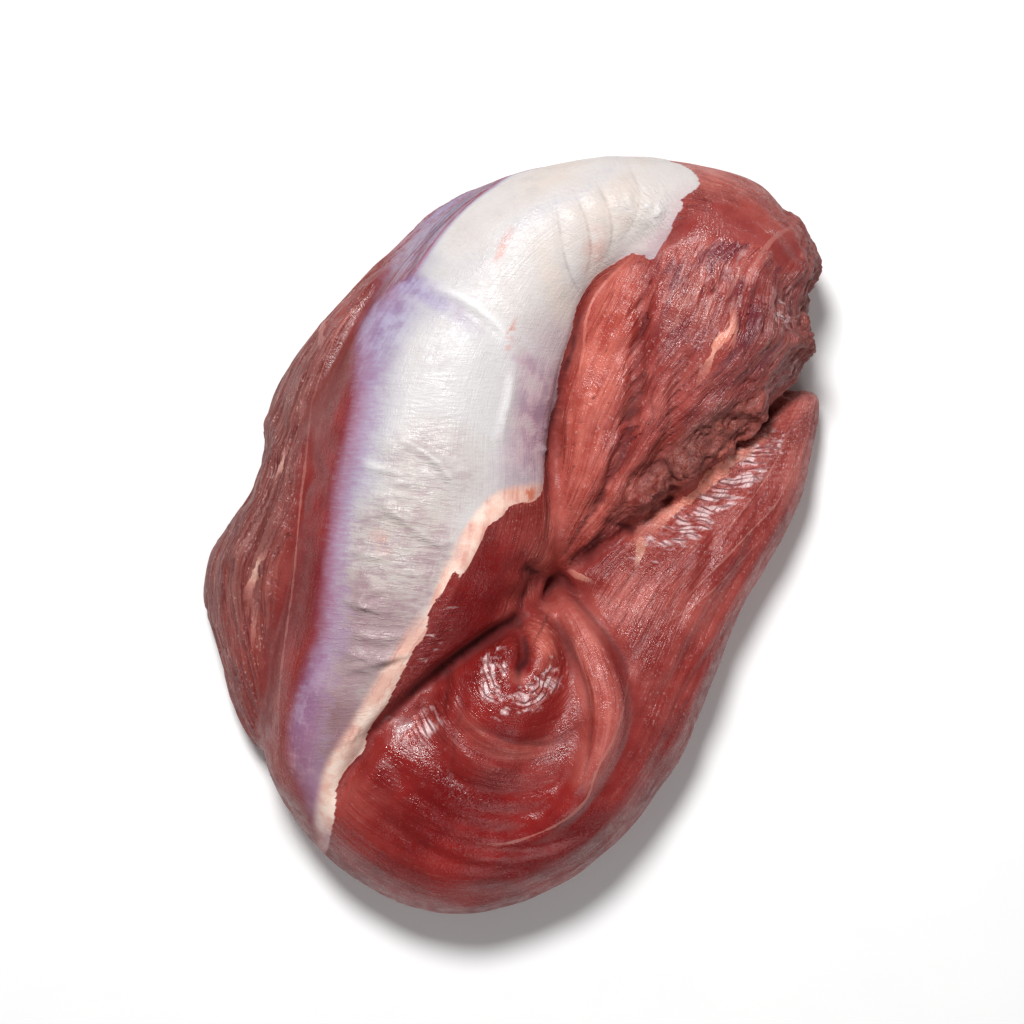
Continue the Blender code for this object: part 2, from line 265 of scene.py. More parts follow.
# How far nearer one muscle is than the next where their border ends, and how many points of a loft tell where
# a point lies on it.
BORDER = (0.3, 2.6)
NEIGHBOURS = 4
TINY_GAP = 1e-6
# How fast a fold fades where the skin turns down, and a rough zone towards its rim.
FACING_FADE = 2.2
ZONE_FADE = 1.6
# Where the skin runs on from one muscle to the next with no crease: plan centre and radius.
BLENDS = (
    (2, 100, 24),
    (26, 112, 16),
    (44, 104, 11),
    (16, 103, 15),
    (32, 105, 13),
    (-14, -106, 16),
    (-42, 82, 13),
    (28, -86, 24),
)
# Rounds of smoothing in each of them, in steps that draw in towards its middle, and on the whole skin.
BLEND_PASSES = 96
BLEND_STEPS = 6
BLEND_NARROWING = 0.4
BLEND_FLOOR = 4.0
SOFTEN_PASSES = 4
LAST_PASSES = 2

# The silverskin's outline in plan, in three parts: its left edge fades into the muscle, its right edge is a
# clean one, and the rest lies beyond the meat.
SKIN_LEFT = (
    (-37, 124), (-34, 112), (-35, 102), (-43, 90), (-50, 78), (-54, 66), (-56, 55), (-57, 47), (-61, 42),
    (-64, 35), (-64, 27), (-60, 17), (-56, 7), (-53, -4), (-50, -16), (-46, -27), (-42, -38), (-38, -49),
    (-34, -60), (-32, -72), (-29, -84), (-24, -95), (-16, -104), (-9, -112), (-4, -119),
)
SKIN_RIGHT = (
    (-2, -116), (-4, -106), (-6, -100), (-8, -95), (-8, -89), (-6, -82), (-7, -76), (-6, -68), (-6, -62),
    (-6, -54), (-6, -48), (-5, -43), (-7, -36), (-6, -28), (-6, -23), (-4, -24), (-3, -20), (-3, -16),
    (-3, -11), (-3, -7), (-1, -3), (0, 1), (2, 3), (5, 5), (6, 10), (2, 21), (-1, 29), (-2, 35), (-4, 40),
    (-6, 47), (-7, 54), (-9, 61), (-9, 68), (-8, 73), (-5, 78), (-2, 82), (1, 83), (4, 83), (5, 88),
    (5, 97), (5, 101), (4, 103), (6, 107), (6, 110), (3, 112), (-3, 114), (-10, 124),
)
SKIN_BEYOND = ((-14, 135), (-34, 135))
# How far the silverskin's edges wander on the steep sides, in centimetres, and over what length. How far from
# an edge the skin knows its distance to it, and how near the edge tells the inside from the outside.
EDGE_WANDER = 0.22
EDGE_SPACING = 20
EDGE_REACH = 40
EDGE_SURE = 3
OUTLINE_STEPS = 6
# How far up its side turns to face before the skin counts as its top, and the height at which the silverskin
# fades out above the counter.
UPWARDS = (0.15, 0.75)
SKIN_FOOT = (6, 20)
SKIN_FOOT_WANDER = 10

# The middle of the coiled inside of the bend, where its skin is gathered.
PUCKER = (24.0, -38.0)
COIL_TURN = 22.0
# The coil inside the bend: plan centre, where it starts to fade and where it ends, and its upper limit.
COIL = (24.0, -50.0, 24.0, 36.0)
COIL_TOP = -20.0
# Sharp creases between the muscles: plan points, depth, half-width, and darkness of the painted shade along
# each.
CREASES = (
    (((-8, 67), (-7, 59), (-5, 50), (-3, 38), (2, 22), (7, 12), (12, 2), (16, -10)), 1.2, 1.0, 0.9),
    (((12, -11), (17, -14), (22, -13)), 4.5, 2.6, 1.0),
    (((16, -14), (16, -20), (17, -27)), 1.5, 1.2, 0.8),
    (((-7, -78), (-2, -66), (2, -54), (9, -40), (15, -30), (18, -26)), 2.0, 1.3, 0.9),
    (((17, -21), (28, -24), (37, -31), (45, -39), (52, -52), (56, -64)), 1.3, 1.1, 0.5),
    (((22, -11), (29, -14), (41, -19), (51, -25), (57, -34)), 1.4, 1.1, 0.5),
    (((18, -29), (22, -33), (24, -37), (24, -40), (27, -46)), 1.4, 1.0, 0.9),
    (((4, -49), (8, -57), (10, -64)), 1.0, 1.0, 0.5),
    (((11, -53), (14, -58), (15, -64), (20, -77)), 0.9, 0.9, 0.4),
    (((17, -63), (23, -60), (30, -60), (37, -58), (43, -54), (47, -46)), 1.1, 1.1, 0.5),
    (((29, 10), (28, 1), (23, -9)), 2.4, 1.6, 0.9),
    (((41, 26), (38, 29), (35, 34)), 1.8, 1.2, 0.8),
    (((61, 76), (57, 66), (52, 54), (48, 44), (44, 34)), 1.6, 1.3, 0.6),
    (((26, 10), (31, 10), (37, 12)), 2.2, 1.5, 1.0),
    (((16, 51), (19, 41), (22, 30), (22, 15), (21, 0), (20, -9)), 1.2, 1.0, 0.6),
    (((53, 103), (45, 95), (43, 90), (40, 84)), 0.9, 0.9, 0.5),
    (((9, 67), (14, 57), (18, 46), (17, 35), (15, 20)), 0.8, 0.9, 0.35),
    (((18, 58), (21, 48), (25, 42), (24, 32), (26, 18)), 0.8, 0.9, 0.4),
    (((25, 60), (26, 52), (30, 44), (30, 34)), 0.7, 0.9, 0.4),
    (((54, 16), (55, 2), (55, -6), (52, -16), (50, -26)), 0.6, 0.9, 0.3),
    (((43, 4), (40, -4), (38, -12)), 0.6, 0.9, 0.4),
    (((76, 12), (75, 0), (72, -13), (70, -28), (72, -40)), 0.6, 0.9, 0.3),
    (((-51, 82), (-57, 64), (-58, 54), (-57, 46)), 0.8, 1.0, 0.5),
    (((-29, 86), (-22, 76), (-16, 69), (-10, 65)), 0.5, 0.8, 0.25),
    (((-25, 90), (-18, 84), (-13, 77), (-11, 70)), 0.5, 0.8, 0.3),
    (((-20, 95), (-13, 89), (-9, 82), (-9, 74)), 0.5, 0.8, 0.3),
    (((-14, 104), (-8, 98), (-6, 90), (-7, 83)), 0.5, 0.8, 0.22),
    (((-24, -55), (-17, -53), (-9, -48)), 0.25, 0.8, 0.05),
    (((-22, -66), (-14, -59), (-6, -50)), 0.3, 0.8, 0.08),
)
# Pale threads and seams of fat in the muscle: plan points, half-width and strength.
PALE_LINES = (
    (((36, 112), (33, 106), (32, 102), (31, 96), (31, 91), (32, 83)), 0.7, 0.55),
    (((31, 82), (33, 76), (32, 71), (32, 66), (32, 58)), 1.3, 1.0),
    (((34, 79), (36, 71)), 0.5, 0.7),
    (((-1, 83), (-4, 75), (-6, 67), (-5, 59), (-2, 51), (0, 44)), 0.5, 0.6),
    (((58, 56), (55, 48), (51, 40), (48, 32), (45, 25), (42, 18), (38, 11)), 1.9, 1.0),
    (((37, 13), (40, 7), (41, 1)), 1.3, 0.9),
    (((24, -9), (28, -8), (32, -8)), 0.9, 0.8),
    (((64, 62), (64, 47), (62, 33), (57, 12)), 0.35, 0.6),
    (((70, 60), (70, 39), (66, 25), (61, 9), (58, 0)), 0.35, 0.6),
    (((71, 27), (66, 11), (61, -1), (56, -9)), 0.3, 0.5),
    (((54, -28), (57, -44), (57, -56), (58, -66), (53, -77), (44, -87), (36, -91)), 0.4, 0.6),
    (((-67, 3), (-60, -14), (-56, -25), (-51, -37), (-47, -47), (-41, -64), (-35, -80), (-29, -92)), 0.4, 0.55),
    (((-65, 42), (-69, 26), (-68, 12), (-66, 0)), 0.3, 0.4),
    (((-67, -14), (-66, -19), (-66, -24)), 1.1, 0.8),
    (((-59, -44), (-59, -50), (-58, -58)), 1.2, 0.9),
    (((-54, -60), (-50, -70)), 0.8, 0.6),
    (((-76, 26), (-72, 18)), 0.9, 0.6),
    (((26, 77), (28, 83), (28, 89), (28, 97)), 0.5, 0.45),
    (((18, 67), (18, 74), (18, 79), (19, 85)), 0.6, 0.55),
    (((12, 73), (14, 78), (15, 83)), 0.5, 0.45),
    (((15, 69), (17, 67), (19, 70), (17, 74)), 0.5, 0.5),
    (((22, 88), (20, 82), (21, 76)), 0.5, 0.4),
)
# Ridges of puckered silverskin: plan points, height and half-width.
WRINKLES = (
    (((-43, -7), (-37, -6), (-30, -4)), 0.6, 0.9),
    (((-37, 4), (-26, 3), (-16, -1)), 0.7, 0.9),
    (((-20, -17), (-16, -18), (-12, -17)), 0.6, 0.8),
    (((-30, -44), (-26, -44), (-21, -42)), 0.6, 0.8),
    (((-34, -15), (-27, -16), (-19, -18)), 0.6, 0.9),
    (((-36, -31), (-30, -30), (-25, -28)), 0.5, 0.8),
    (((-24, -52), (-17, -50), (-10, -46)), 0.6, 0.9),
    (((-20, -62), (-14, -56), (-7, -50)), 0.6, 0.9),
    (((-50, 47), (-40, 48), (-28, 46), (-20, 42)), 0.7, 1.7),
    (((-18, 37), (-15, 28), (-12, 16)), 0.3, 1.2),
)
# The relief, in millimetres: how far the fibres wave and over what length, what keeps one muscle's pattern
# from the next one's, and how far creases, wrinkles, threads of fat and the silverskin go in and out.
FIBRE_WAVE, FIBRE_WAVE_SPACING = 3.0, 22
MUSCLE_OFFSET = 80.3
CREASE_SHARE, CREASE_WIDENING = 0.8, 0.6
WRINKLE_SHARE, WRINKLE_WIDENING = 2.0, 0.2
THREAD_HEIGHT, THREAD_WIDENING = 0.35, 0.9
SKIN_THICKNESS = 0.3
BUNDLE_SHARE = 0.8
BAR_DEPTH = 0.4
# How much narrower than its crease the line of painted shade along it is.
DARK_NARROWING = 0.7
# How much of the strands each muscle shows, and where the back of the bend is smooth: plan centre and radius.
STRAND_SHARES = (0.3, 1.5, 0.6, 1.4, 0.45, 0.6, 0.5)
BEND_BACK = (20, -100, 60)
# Sets of fine lines: share, length, spacing, seed and width. The bundles have length, spacing and seed.
STRANDS = ((1.0, 30, 2.6, 0.5, 0.16), (0.5, 14, 1.5, 5.5, 0.2))
BUNDLES = (60, 7.0, 9.5)
PUCKERS = ((1.0, 5.0, 13, 2.5, 0.20), (0.4, 2.6, 7, 8.5, 0.22))
BARS = ((1.0, 2.4, 9, 3.5, 0.24), (0.5, 15, 2.4, 6.5, 0.2))
ARCS = ((1.0, 12, 1.5, 4.5, 0.26),)
# Height and spacing of the crumbs on the cut, how far they sink, and the thin fins between them.
CRUMBS = ((0.7, 5.0), (1.0, 2.6), (0.6, 1.4))
CRUMB_SINK = 0.1
FIN_SHARE, FIN_SPACING, FIN_WIDTH = 0.15, 4.5, 0.14
# Passes and share of each smoothing that shows how deep a point lies, and what is softened after that: skin
# that lies deeper or stands higher than this, away from the cut and the wrinkles.
SMOOTHINGS = ((6, 0.5), (24, 0.35))
SHARP_IN, SHARP_OUT = 0.25, -0.3
TORN_KEPT, CREST_KEPT = 0.5, 0.2
SHARP_PASSES = 3
FEWEST_FACES = 1000
# What the material reads besides the strokes.
MARKS = ("skin_left", "skin_edge", "above", "up", "pale", "pale_near", "dark", "dark_near", "hollow", "crest")
MUSCLE_SEED = 13.7
# Colours of the silverskin by its distance from the left edge in centimetres, and by how thin it is: greyer and
# darker towards the bend, partly painted shade.
THIN_EDGE = (
    (0.0, (0.215, 0.036, 0.052)),
    (0.07, (0.270, 0.090, 0.135)),
    (0.16, (0.35, 0.190, 0.285)),
    (0.29, (0.38, 0.290, 0.405)),
    (0.47, (0.48, 0.455, 0.490)),
)
THIN_AND_SHADED_SKIN = (
    (0.3, (0.53, 0.475, 0.44)),
    (0.6, (0.45, 0.37, 0.345)),
    (0.85, (0.34, 0.215, 0.225)),
    (1.0, (0.26, 0.125, 0.135)),
)
WET_IOR = 1.42
BUMP_STRENGTH = 0.8
BUMP_DEPTH = 0.0007

# What lies where on the surface: plan points of each stroke, its half-width and its strength. A stroke is
# full over this share of its half-width, or of its radius where it is one spot, and fades this near its ends.
STROKE_CORE, SPOT_CORE, STROKE_END = 0.25, 0.35, 0.06
BESIDE_STRAP = ((-64, 44), (-61, 22), (-57, 4), (-50, -18), (-43, -40), (-37, -64), (-30, -90))
MEMBRANE = ((61, 60), (58, 46), (53, 33), (48, 20), (42, 6))
STROKES = {
    "wrinkled": (
        (((-28, -4),), 20, 0.8),
        (((-3, 94),), 12, 0.8),
        (((-6, 74),), 9, 0.5),
        (((-24, -24),), 20, 1.0),
        (((-22, -50),), 18, 0.9),
        (((-18, -75),), 16, 0.4),
        (((-4, 30), (0, 16)), 9, 0.5),
    ),
    # Where the thin film lies, barred in relief, whitish partly as a painted highlight.
    "hatched": (
        (MEMBRANE, 9, 1.0),
        (((16, -38), (17, -46), (23, -52)), 6, 1.0),
        (((33, -35), (32, -43), (27, -50)), 6, 1.0),
        (((-1, -29), (-2, -42), (-3, -55)), 5, 0.45),
        (((8, -63), (4, -68), (-1, -74)), 7, 1.0),
        (((14, -76), (24, -80), (36, -78)), 4, 0.5),
        (((44, 92), (46, 80)), 9, 0.5),
    ),
    "smooth": (
        (((66, 48), (68, 20), (67, -10), (62, -42)), 18, 0.9),
        (((58, 10), (56, -10)), 12, 0.6),
        (((0, 78), (1, 60), (6, 42), (11, 26), (16, 10)), 10, 0.8),
        (((26, -12), (40, -24), (52, -44), (54, -60)), 10, 0.6),
        (BESIDE_STRAP, 8, 0.8),
    ),
    "filmy": (
        (((26, 86),), 32, 1.0),
        (((40, 72),), 24, 1.0),
        (((62, 24), (58, 4)), 16, 0.15),
        (((16, 46), (18, 20)), 8, 0.3),
    ),
    "torn": (
        (((54, 68), (50, 56), (44, 44), (37, 30), (31, 14)), 9, 1.0),
        (((43, 113), (51, 105), (53, 96), (56, 86), (58, 76), (55, 66)), 8, 0.9),
        (((30, 114), (42, 114)), 7, 0.4),
    ),
    "deep": (
        (((6, -4), (4, -20), (2, -38), (-3, -58)), 13, 1.0),
        (((24, -50),), 30, 0.9),
        (((-24, -100), (-8, -92), (12, -86), (34, -88), (56, -74), (68, -52), (72, -30)), 34, 1.0),
        (((-20, -116), (10, -112), (40, -108), (66, -86), (84, -50), (86, -20)), 34, 1.0),
        (BESIDE_STRAP, 11, 1.0),
        (((8, 92), (9, 100)), 7, 0.5),
        (((72, 42), (72, 14), (68, -14), (60, -34)), 20, 0.35),
    ),
    "rosy": (
        (((67, 76), (61, 67), (54, 55)), 8, 1.0),
        (((62, 54), (56, 38), (50, 22), (45, 6)), 11, 0.5),
        (((2, 84), (0, 74), (3, 60), (8, 44)), 9, 0.8),
        (((19, -17), (30, -20), (42, -30), (52, -44), (55, -58)), 8, 1.0),
        (((62, 20), (58, 0), (56, -22)), 20, 0.25),
        (((44, 0), (42, -12)), 12, 0.5),
        (((24, 52), (22, 30), (24, 10)), 12, 0.5),
        (((66, 70), (70, 54), (72, 40)), 6, 0.5),
        (((16, -60), (24, -63), (34, -62), (42, -56)), 4, 0.5),
        (((22, -43), (25, -42), (28, -42)), 3, 0.6),
        (((12, 86), (20, 74), (20, 62)), 12, 0.25),
        (((-10, -97), (0, -96), (8, -96)), 9, 0.3),
    ),
    "orange": (
        (((2, 84), (0, 72), (2, 56), (6, 40), (11, 26), (16, 10), (20, -6)), 12, 1.0),
        (((27, 26), (25, 12), (22, -4)), 6, 0.7),
        (((22, -28), (27, -30), (29, -35)), 5, 1.0),
        (((56, 56), (50, 40), (44, 25), (37, 11)), 6, 1.0),
        (((31, 82), (33, 72), (32, 60)), 4, 0.7),
        (((-6, 119), (4, 114), (14, 115), (28, 113)), 9, 0.9),
        (((34, 42), (30, 32)), 4, 0.7),
        (((1, 4), (5, 7)), 3.5, 0.9),
    ),
    "dull": (
        (((-72, 34), (-75, 6), (-71, -30), (-62, -60), (-50, -84)), 20, 1.0),
        (((46, 104), (48, 84), (48, 66)), 16, 0.6),
        (((50, 60), (40, 40), (32, 18)), 10, 0.9),
        (((22, 84), (26, 64)), 14, 0.3),
    ),
    "glossy": (
        (((16, -42), (22, -52), (31, -50), (34, -40)), 11, 1.0),
        (((0, -74), (4, -66), (6, -58)), 8, 1.0),
        (MEMBRANE, 10, 0.9),
        (((24, -76),), 26, 0.35),
        (((4, -20),), 20, 0.7),
    ),
    # Thin silverskin, growing towards the bend, where its greyer, darker colour is partly painted shade.
    "thin": (
        (((-24, 0),), 26, 0.4),
        (((-22, -26),), 30, 0.5),
        (((-24, -54),), 34, 0.8),
        (((-18, -92),), 46, 1.0),
    ),
    "violet": (
        (((-62, 43), (-56, 45), (-48, 45), (-40, 44)), 5.5, 1.0),
        (((-27, -64), (-24, -86), (-15, -100)), 9, 0.9),
        (((-16, -14), (-14, -24), (-12, -36), (-14, -54)), 6, 0.9),
        (((3, 4), (0, 20), (-5, 34), (-9, 48)), 16, 0.95),
        (((-20, 43), (-13, 39), (-8, 38)), 5, 0.8),
        (((-59, 42), (-57, 33), (-57, 18)), 12, 0.75),
        (((-56, 44), (-46, 44), (-32, 42)), 4, 0.5),
        (((5, 104), (5, 96), (4, 88), (-3, 80)), 6, 0.9),
        (((-30, -24), (-28, -27)), 4, 0.3),
    ),
    "warm": (
        (((-40, 76), (-20, 96), (0, 104)), 34, 1.0),
        (((-24, 62), (-16, 70)), 24, 0.9),
        (((-26, -4), (-22, -22)), 18, 0.5),
        (((-15, 88), (-12, 78), (-10, 68)), 7, 0.8),
    ),
    "full": (
        (((-54, 52), (-54, 62), (-50, 76), (-43, 90), (-34, 102), (-28, 118)), 16, 1.0),
    ),
    "sheen": (
        (((-58, 40), (-59, 52), (-57, 66), (-51, 82), (-42, 96)), 10, 1.0),
    ),
    "vein": (
        (((-36, 72), (-36, 66), (-35, 60)), 1.6, 0.5),
        (((-24, 49), (-22, 41)), 1.6, 0.8),
        (((1, 5), (5, 8)), 3.5, 1.0),
        (((-13, 82), (-11, 74)), 5, 0.3),
        (((-30, -24), (-27, -26)), 4, 0.4),
    ),
    "fat": (
        (((9, 10), (3, 5), (-2, 0), (-4, -7), (-5, -14), (-6, -24)), 7.0, 1.0),
        (((-3, -8), (-3, -16), (-3, -27)), 6.0, 1.0),
        (((-6, -16), (-6, -26), (-5, -36), (-5, -48)), 4.5, 1.0),
        (((-4, -34), (-5, -48), (-6, -60), (-7, -74), (-8, -88)), 9.0, 1.0),
        (((-7, -62), (-7, -76), (-8, -90), (-6, -100), (-3, -114)), 9.0, 1.0),
    ),
}


class MeatShape(PropertyGroup):
    grain: FloatProperty(
        name="Grain", description="Edge of the squares that the skin is made of", default=0.98 * MM,
        unit="LENGTH",
    )
    strand_depth: FloatProperty(
        name="Strand depth", description="Depth of the lines between the muscle's strands", default=0.55 * MM,
        unit="LENGTH",
    )
    wrinkle_height: FloatProperty(
        name="Wrinkle height", description="Height of the silverskin's cross wrinkles", default=1.5 * MM,
        unit="LENGTH",
    )
    torn_depth: FloatProperty(
        name="Torn depth", description="Depth of the crumbled cut edge", default=1.5 * MM, unit="LENGTH"
    )


class MeatColours(PropertyGroup):
    deep: FloatVectorProperty(
        name="Deep red", description="Smooth wet muscle", default=(0.15, 0.003, 0.004), subtype="COLOR"
    )
    bright: FloatVectorProperty(
        name="Bright red", description="Muscle that met the air", default=(0.37, 0.068, 0.057), subtype="COLOR"
    )
    skin: FloatVectorProperty(
        name="Silverskin", description="Thick silverskin", default=(0.60, 0.575, 0.575), subtype="COLOR"
    )
    violet: FloatVectorProperty(
        name="Violet", description="Thin silverskin over dark muscle", default=(0.29, 0.13, 0.21),
        subtype="COLOR",
    )
    fat: FloatVectorProperty(
        name="Fat", description="Seams and patches of fat", default=(0.78, 0.46, 0.37), subtype="COLOR"
    )


class StageSettings(PropertyGroup):
    camera_height: FloatProperty(
        name="Camera height", description="Height of the camera over the counter", default=0.85, unit="LENGTH"
    )
    key_power: FloatProperty(
        name="Key light", description="Power of the large soft light", default=11.5, unit="POWER"
    )
    surroundings: FloatProperty(
        name="Surroundings", description="Brightness of the white room", default=0.15, min=0.0, subtype="FACTOR"
    )


def smooth_through(rows, steps):
    """Catmull-Rom curve through the rows, with steps points from each row to the next."""
    rows = np.array(rows, float)
    padded = np.vstack([2 * rows[0] - rows[1], rows, 2 * rows[-1] - rows[-2]])
    out = []
    for i in range(len(rows) - 1):
        p0, p1, p2, p3 = padded[i : i + 4]
        for t in np.arange(steps) / steps:
            bend = (2 * p0 - 5 * p1 + 4 * p2 - p3) * t**2 + (3 * p1 - p0 - 3 * p2 + p3) * t**3
            out.append(0.5 * (2 * p1 + (p2 - p0) * t + bend))
    out.append(rows[-1])
    return np.array(out)


def section(station, waist, power, lean):
    """Closed ring of points across a muscle: a rounded crown over an underside that sinks below z = 0."""
    ax, ay, bx, by, crown = station
    waist = min(waist, 0.5 * crown)
    angle = np.linspace(0, 2 * math.pi, RING_POINTS, endpoint=False)
    c, s = np.cos(angle), np.sin(angle)
    across = np.sign(c) * np.abs(c) ** (2 / power)
    rise = np.abs(s) ** (2 / power)
    under = np.abs(s) ** UNDER_POWER
    z = np.where(s >= 0, waist + (crown - waist) * rise, waist - (waist + SINK) * under)
    share = (1 + across + lean * np.where(s > 0, rise, 0) * (1 - across**2)) / 2
    return np.stack([ax + (bx - ax) * share, ay + (by - ay) * share, z], axis=1)


def stranded(ring, along, strands, depth):
    """The ring with the muscle's long strands in it, which follow the loft and drift as they go."""
    middle = ring.mean(axis=0)
    out = ring - middle
    for j in range(RING_POINTS):
        turn = 2 * math.pi * j / RING_POINTS
        where = Vector((strands * math.cos(turn), strands * math.sin(turn), along / STRAND_DRIFT))
        finer = noise.noise(where * FINE_STRANDS + Vector(FINE_OFFSET))
        lift = noise.noise(where) + FINE_SHARE * finer
        out[j] *= 1 + depth * lift / np.linalg.norm(out[j])
    return middle + out


def end_rings(ring, inner):
    """Rings that round off the end of a muscle, from its last ring outwards, and the pole they close on."""
    middle = ring.mean(axis=0)
    outward = middle - inner.mean(axis=0)
    outward[2] = 0
    outward /= np.linalg.norm(outward)
    reach = END_REACH * np.ptp(ring[:, :2], axis=0).max()
    turns = [0.5 * math.pi * i / END_RINGS for i in range(1, END_RINGS)]
    rings = [middle + (ring - middle) * math.cos(t) + outward * reach * math.sin(t) for t in turns]
    return rings, middle + outward * reach


def extrude_ring(bm, ring):
    """Extrudes a closed ring of vertices once, and returns the new ring in the same order."""
    edges = [bm.edges.get((ring[j - 1], ring[j])) for j in range(len(ring))]
    grown = bmesh.ops.extrude_edge_only(bm, edges=edges)["geom"]
    new = {v for v in grown if isinstance(v, bmesh.types.BMVert)}
    return [next(e.other_vert(v) for e in v.link_edges if e.other_vert(v) in new) for v in ring]


def put(ring, points):
    for vert, point in zip(ring, points):
        vert.co = Vector(point) * MM


def muscle_rings(stations, waist, power, lean, strands, depth):
    """The rings of a muscle from pole to pole, the two poles, and the distance along it of each ring."""
    rings = [section(row, waist, power, lean) for row in smooth_through(stations, STEPS_PER_STATION)]
    start, first_pole = end_rings(rings[0], rings[1])
    finish, last_pole = end_rings(rings[-1], rings[-2])
    rings = start[::-1] + rings + finish
    middles = np.array([ring.mean(axis=0) for ring in rings])
    steps = np.linalg.norm(np.diff(middles, axis=0), axis=1)
    travelled = np.concatenate([[0], np.cumsum(steps)])
    rings = [stranded(ring, along, strands, depth) for ring, along in zip(rings, travelled)]
    return np.array(rings), (first_pole, last_pole), travelled


def add_muscle(bm, rings, poles):
    """Adds one closed lofted muscle: a circle, extruded from ring to ring, with a pole at each end."""
    first = last = bmesh.ops.create_circle(bm, cap_ends=False, segments=RING_POINTS, radius=1.0)["verts"]
    put(last, rings[0])
    for points in rings[1:]:
        last = extrude_ring(bm, last)
        put(last, points)
    for ring, pole in zip((first, last), poles):
        tip = extrude_ring(bm, ring)
        bmesh.ops.pointmerge(bm, verts=tip, merge_co=Vector(pole) * MM)


def add_tag(bm, x, y, z, rx, ry, rz, turn):
    place = Matrix.Translation(Vector((x, y, z)) * MM) @ Matrix.Rotation(math.radians(turn), 4, "Z")
    place = place @ Matrix.Diagonal((rx * MM, ry * MM, rz * MM, 1))
    bmesh.ops.create_icosphere(bm, subdivisions=3, radius=1.0, matrix=place)


def mesh_object(name, bm):
    mesh = bpy.data.meshes.new(name)
    bm.to_mesh(mesh)
    bm.free()
    made = bpy.data.objects.new(name, mesh)
    bpy.context.scene.collection.objects.link(made)
    return made


def fuse(obj, grain):
    """One skin over all the overlapping muscles, in place of the object's mesh."""
    remesh = obj.modifiers.new("skin", "REMESH")
    remesh.mode = "VOXEL"
    remesh.voxel_size = grain
    bpy.context.view_layer.update()
    evaluated = obj.evaluated_get(bpy.context.evaluated_depsgraph_get())
    mesh = bpy.data.meshes.new_from_object(evaluated)
    obj.modifiers.clear()
    obj.data = mesh


def open_mesh(obj):
    bm = bmesh.new()
    bm.from_mesh(obj.data)
    return bm


def close_mesh(obj, bm):
    bm.to_mesh(obj.data)
    bm.free()


def smooth_once(bm, verts):
    bmesh.ops.smooth_vert(bm, verts=verts, factor=0.5, use_axis_x=True, use_axis_y=True, use_axis_z=True)


def soften(obj, zones, passes):
    """Takes the steps out of the skin, and closes the creases in the zones where the muscle runs on."""
    bm = open_mesh(obj)
    for _ in range(passes):
        smooth_once(bm, bm.verts[:])
    for x, y, radius in zones:
        centre = Vector((x, y)) * MM
        for step in range(BLEND_STEPS):
            reach = radius * MM * (1 - BLEND_NARROWING * step / BLEND_STEPS)
            near = [v for v in bm.verts if v.co.z > BLEND_FLOOR * MM and (v.co.xy - centre).length < reach]
            for _ in range(BLEND_PASSES // BLEND_STEPS):
                smooth_once(bm, near)
    close_mesh(obj, bm)


def beside(points, line, margin=LINE_REACH):
    """Each point's distance in plan to the smooth line, negative on its right, and its share of the line."""
    curve = smooth_through(line, LINE_STEPS)
    low, high = curve.min(axis=0) - margin, curve.max(axis=0) + margin
    near = np.all((points[:, :2] > low[:2]) & (points[:, :2] < high[:2]), axis=1)
    gap, share = np.full(len(points), FAR_OFF), np.zeros(len(points))
    away = points[near, None, :2] - curve[None, :, :2]
    length = np.linalg.norm(away, axis=2)
    closest = length.argmin(axis=1)
    along = np.gradient(curve[:, :2], axis=0)
    along /= np.linalg.norm(along, axis=1)[:, None]
    row = np.arange(len(closest))
    to_point, course = away[row, closest], along[closest]
    across = course[:, 0] * to_point[:, 1] - course[:, 1] * to_point[:, 0]
    beyond = (closest == 0) | (closest == len(curve) - 1)
    gap[near] = np.where(beyond, np.sign(across) * length[row, closest], across)
    share[near] = closest / (len(curve) - 1)
    return gap, share


def from_spot(points, x, y):
    """Each point's distance in plan to one spot."""
    return np.hypot(points[:, 0] - x, points[:, 1] - y)


def away_from(points, line, margin=LINE_REACH):
    gap, share = beside(points, line, margin)
    return np.abs(gap), share


def smooth_step(value, low, high):
    t = np.clip((value - low) / (high - low), 0, 1)
    return t * t * (3 - 2 * t)


def fading(share, end=LINE_END):
    """One along most of a line, and falling to little at its two ends."""
    return np.sin(math.pi * np.clip(share, end, 1 - end)) ** 0.5


def ridge(points, line, width, height=1.0, end=LINE_END):
    """A rounded ridge along a line, of that height and half-width, which fades out at its two ends."""
    gap, share = away_from(points, line)
    return height * fading(share, end) * np.exp(-((gap / width) ** 2))


def lines_at(points, rows):
    """How far each point is across its nearest line, in that line's half-widths, and how strong the line is."""
    across, strength = np.full(len(points), FAR_ACROSS), np.zeros(len(points))
    for line, width, weight in rows:
        gap, share = beside(points, line)
        value = np.clip(gap / width, -FAR_ACROSS, FAR_ACROSS)
        closer = np.abs(value) < np.abs(across)
        across = np.where(closer, value, across)
        here = weight * fading(share) * (1 - smooth_step(np.abs(value), *LINE_FADE))
        strength = np.where(closer, here, strength)
    return across, strength


def arc(radius, start, stop):
    turns = np.radians(np.linspace(start, stop, ARC_POINTS))
    return [(BEND_CENTRE[0] + radius * math.cos(t), BEND_CENTRE[1] + radius * math.sin(t)) for t in turns]


def read_skin(obj):
    """The mesh's points and normals, in millimetres."""
    count = len(obj.data.vertices)
    points, normals = np.empty(count * 3), np.empty(count * 3)
    obj.data.vertices.foreach_get("co", points)
    obj.data.vertices.foreach_get("normal", normals)
    return points.reshape(-1, 3) / MM, normals.reshape(-1, 3)


def write_skin(obj, points):
    obj.data.vertices.foreach_set("co", (points * MM).astype(np.float32).ravel())
    obj.data.update()


def lumps(points, spacing):
    """Soft noise in space, of that spacing in millimetres."""
    return np.array([noise.noise(Vector(p) / spacing) for p in points])


def layers(points, rows):
    """Lumps of several sizes together: the height and the spacing of each."""
    return sum(height * lumps(points, spacing) for height, spacing in rows)


def facing_up(normals):
    """One where the skin faces up, and fading to zero where it turns down."""
    return np.clip(normals[:, 2] * FACING_FADE, 0, 1)


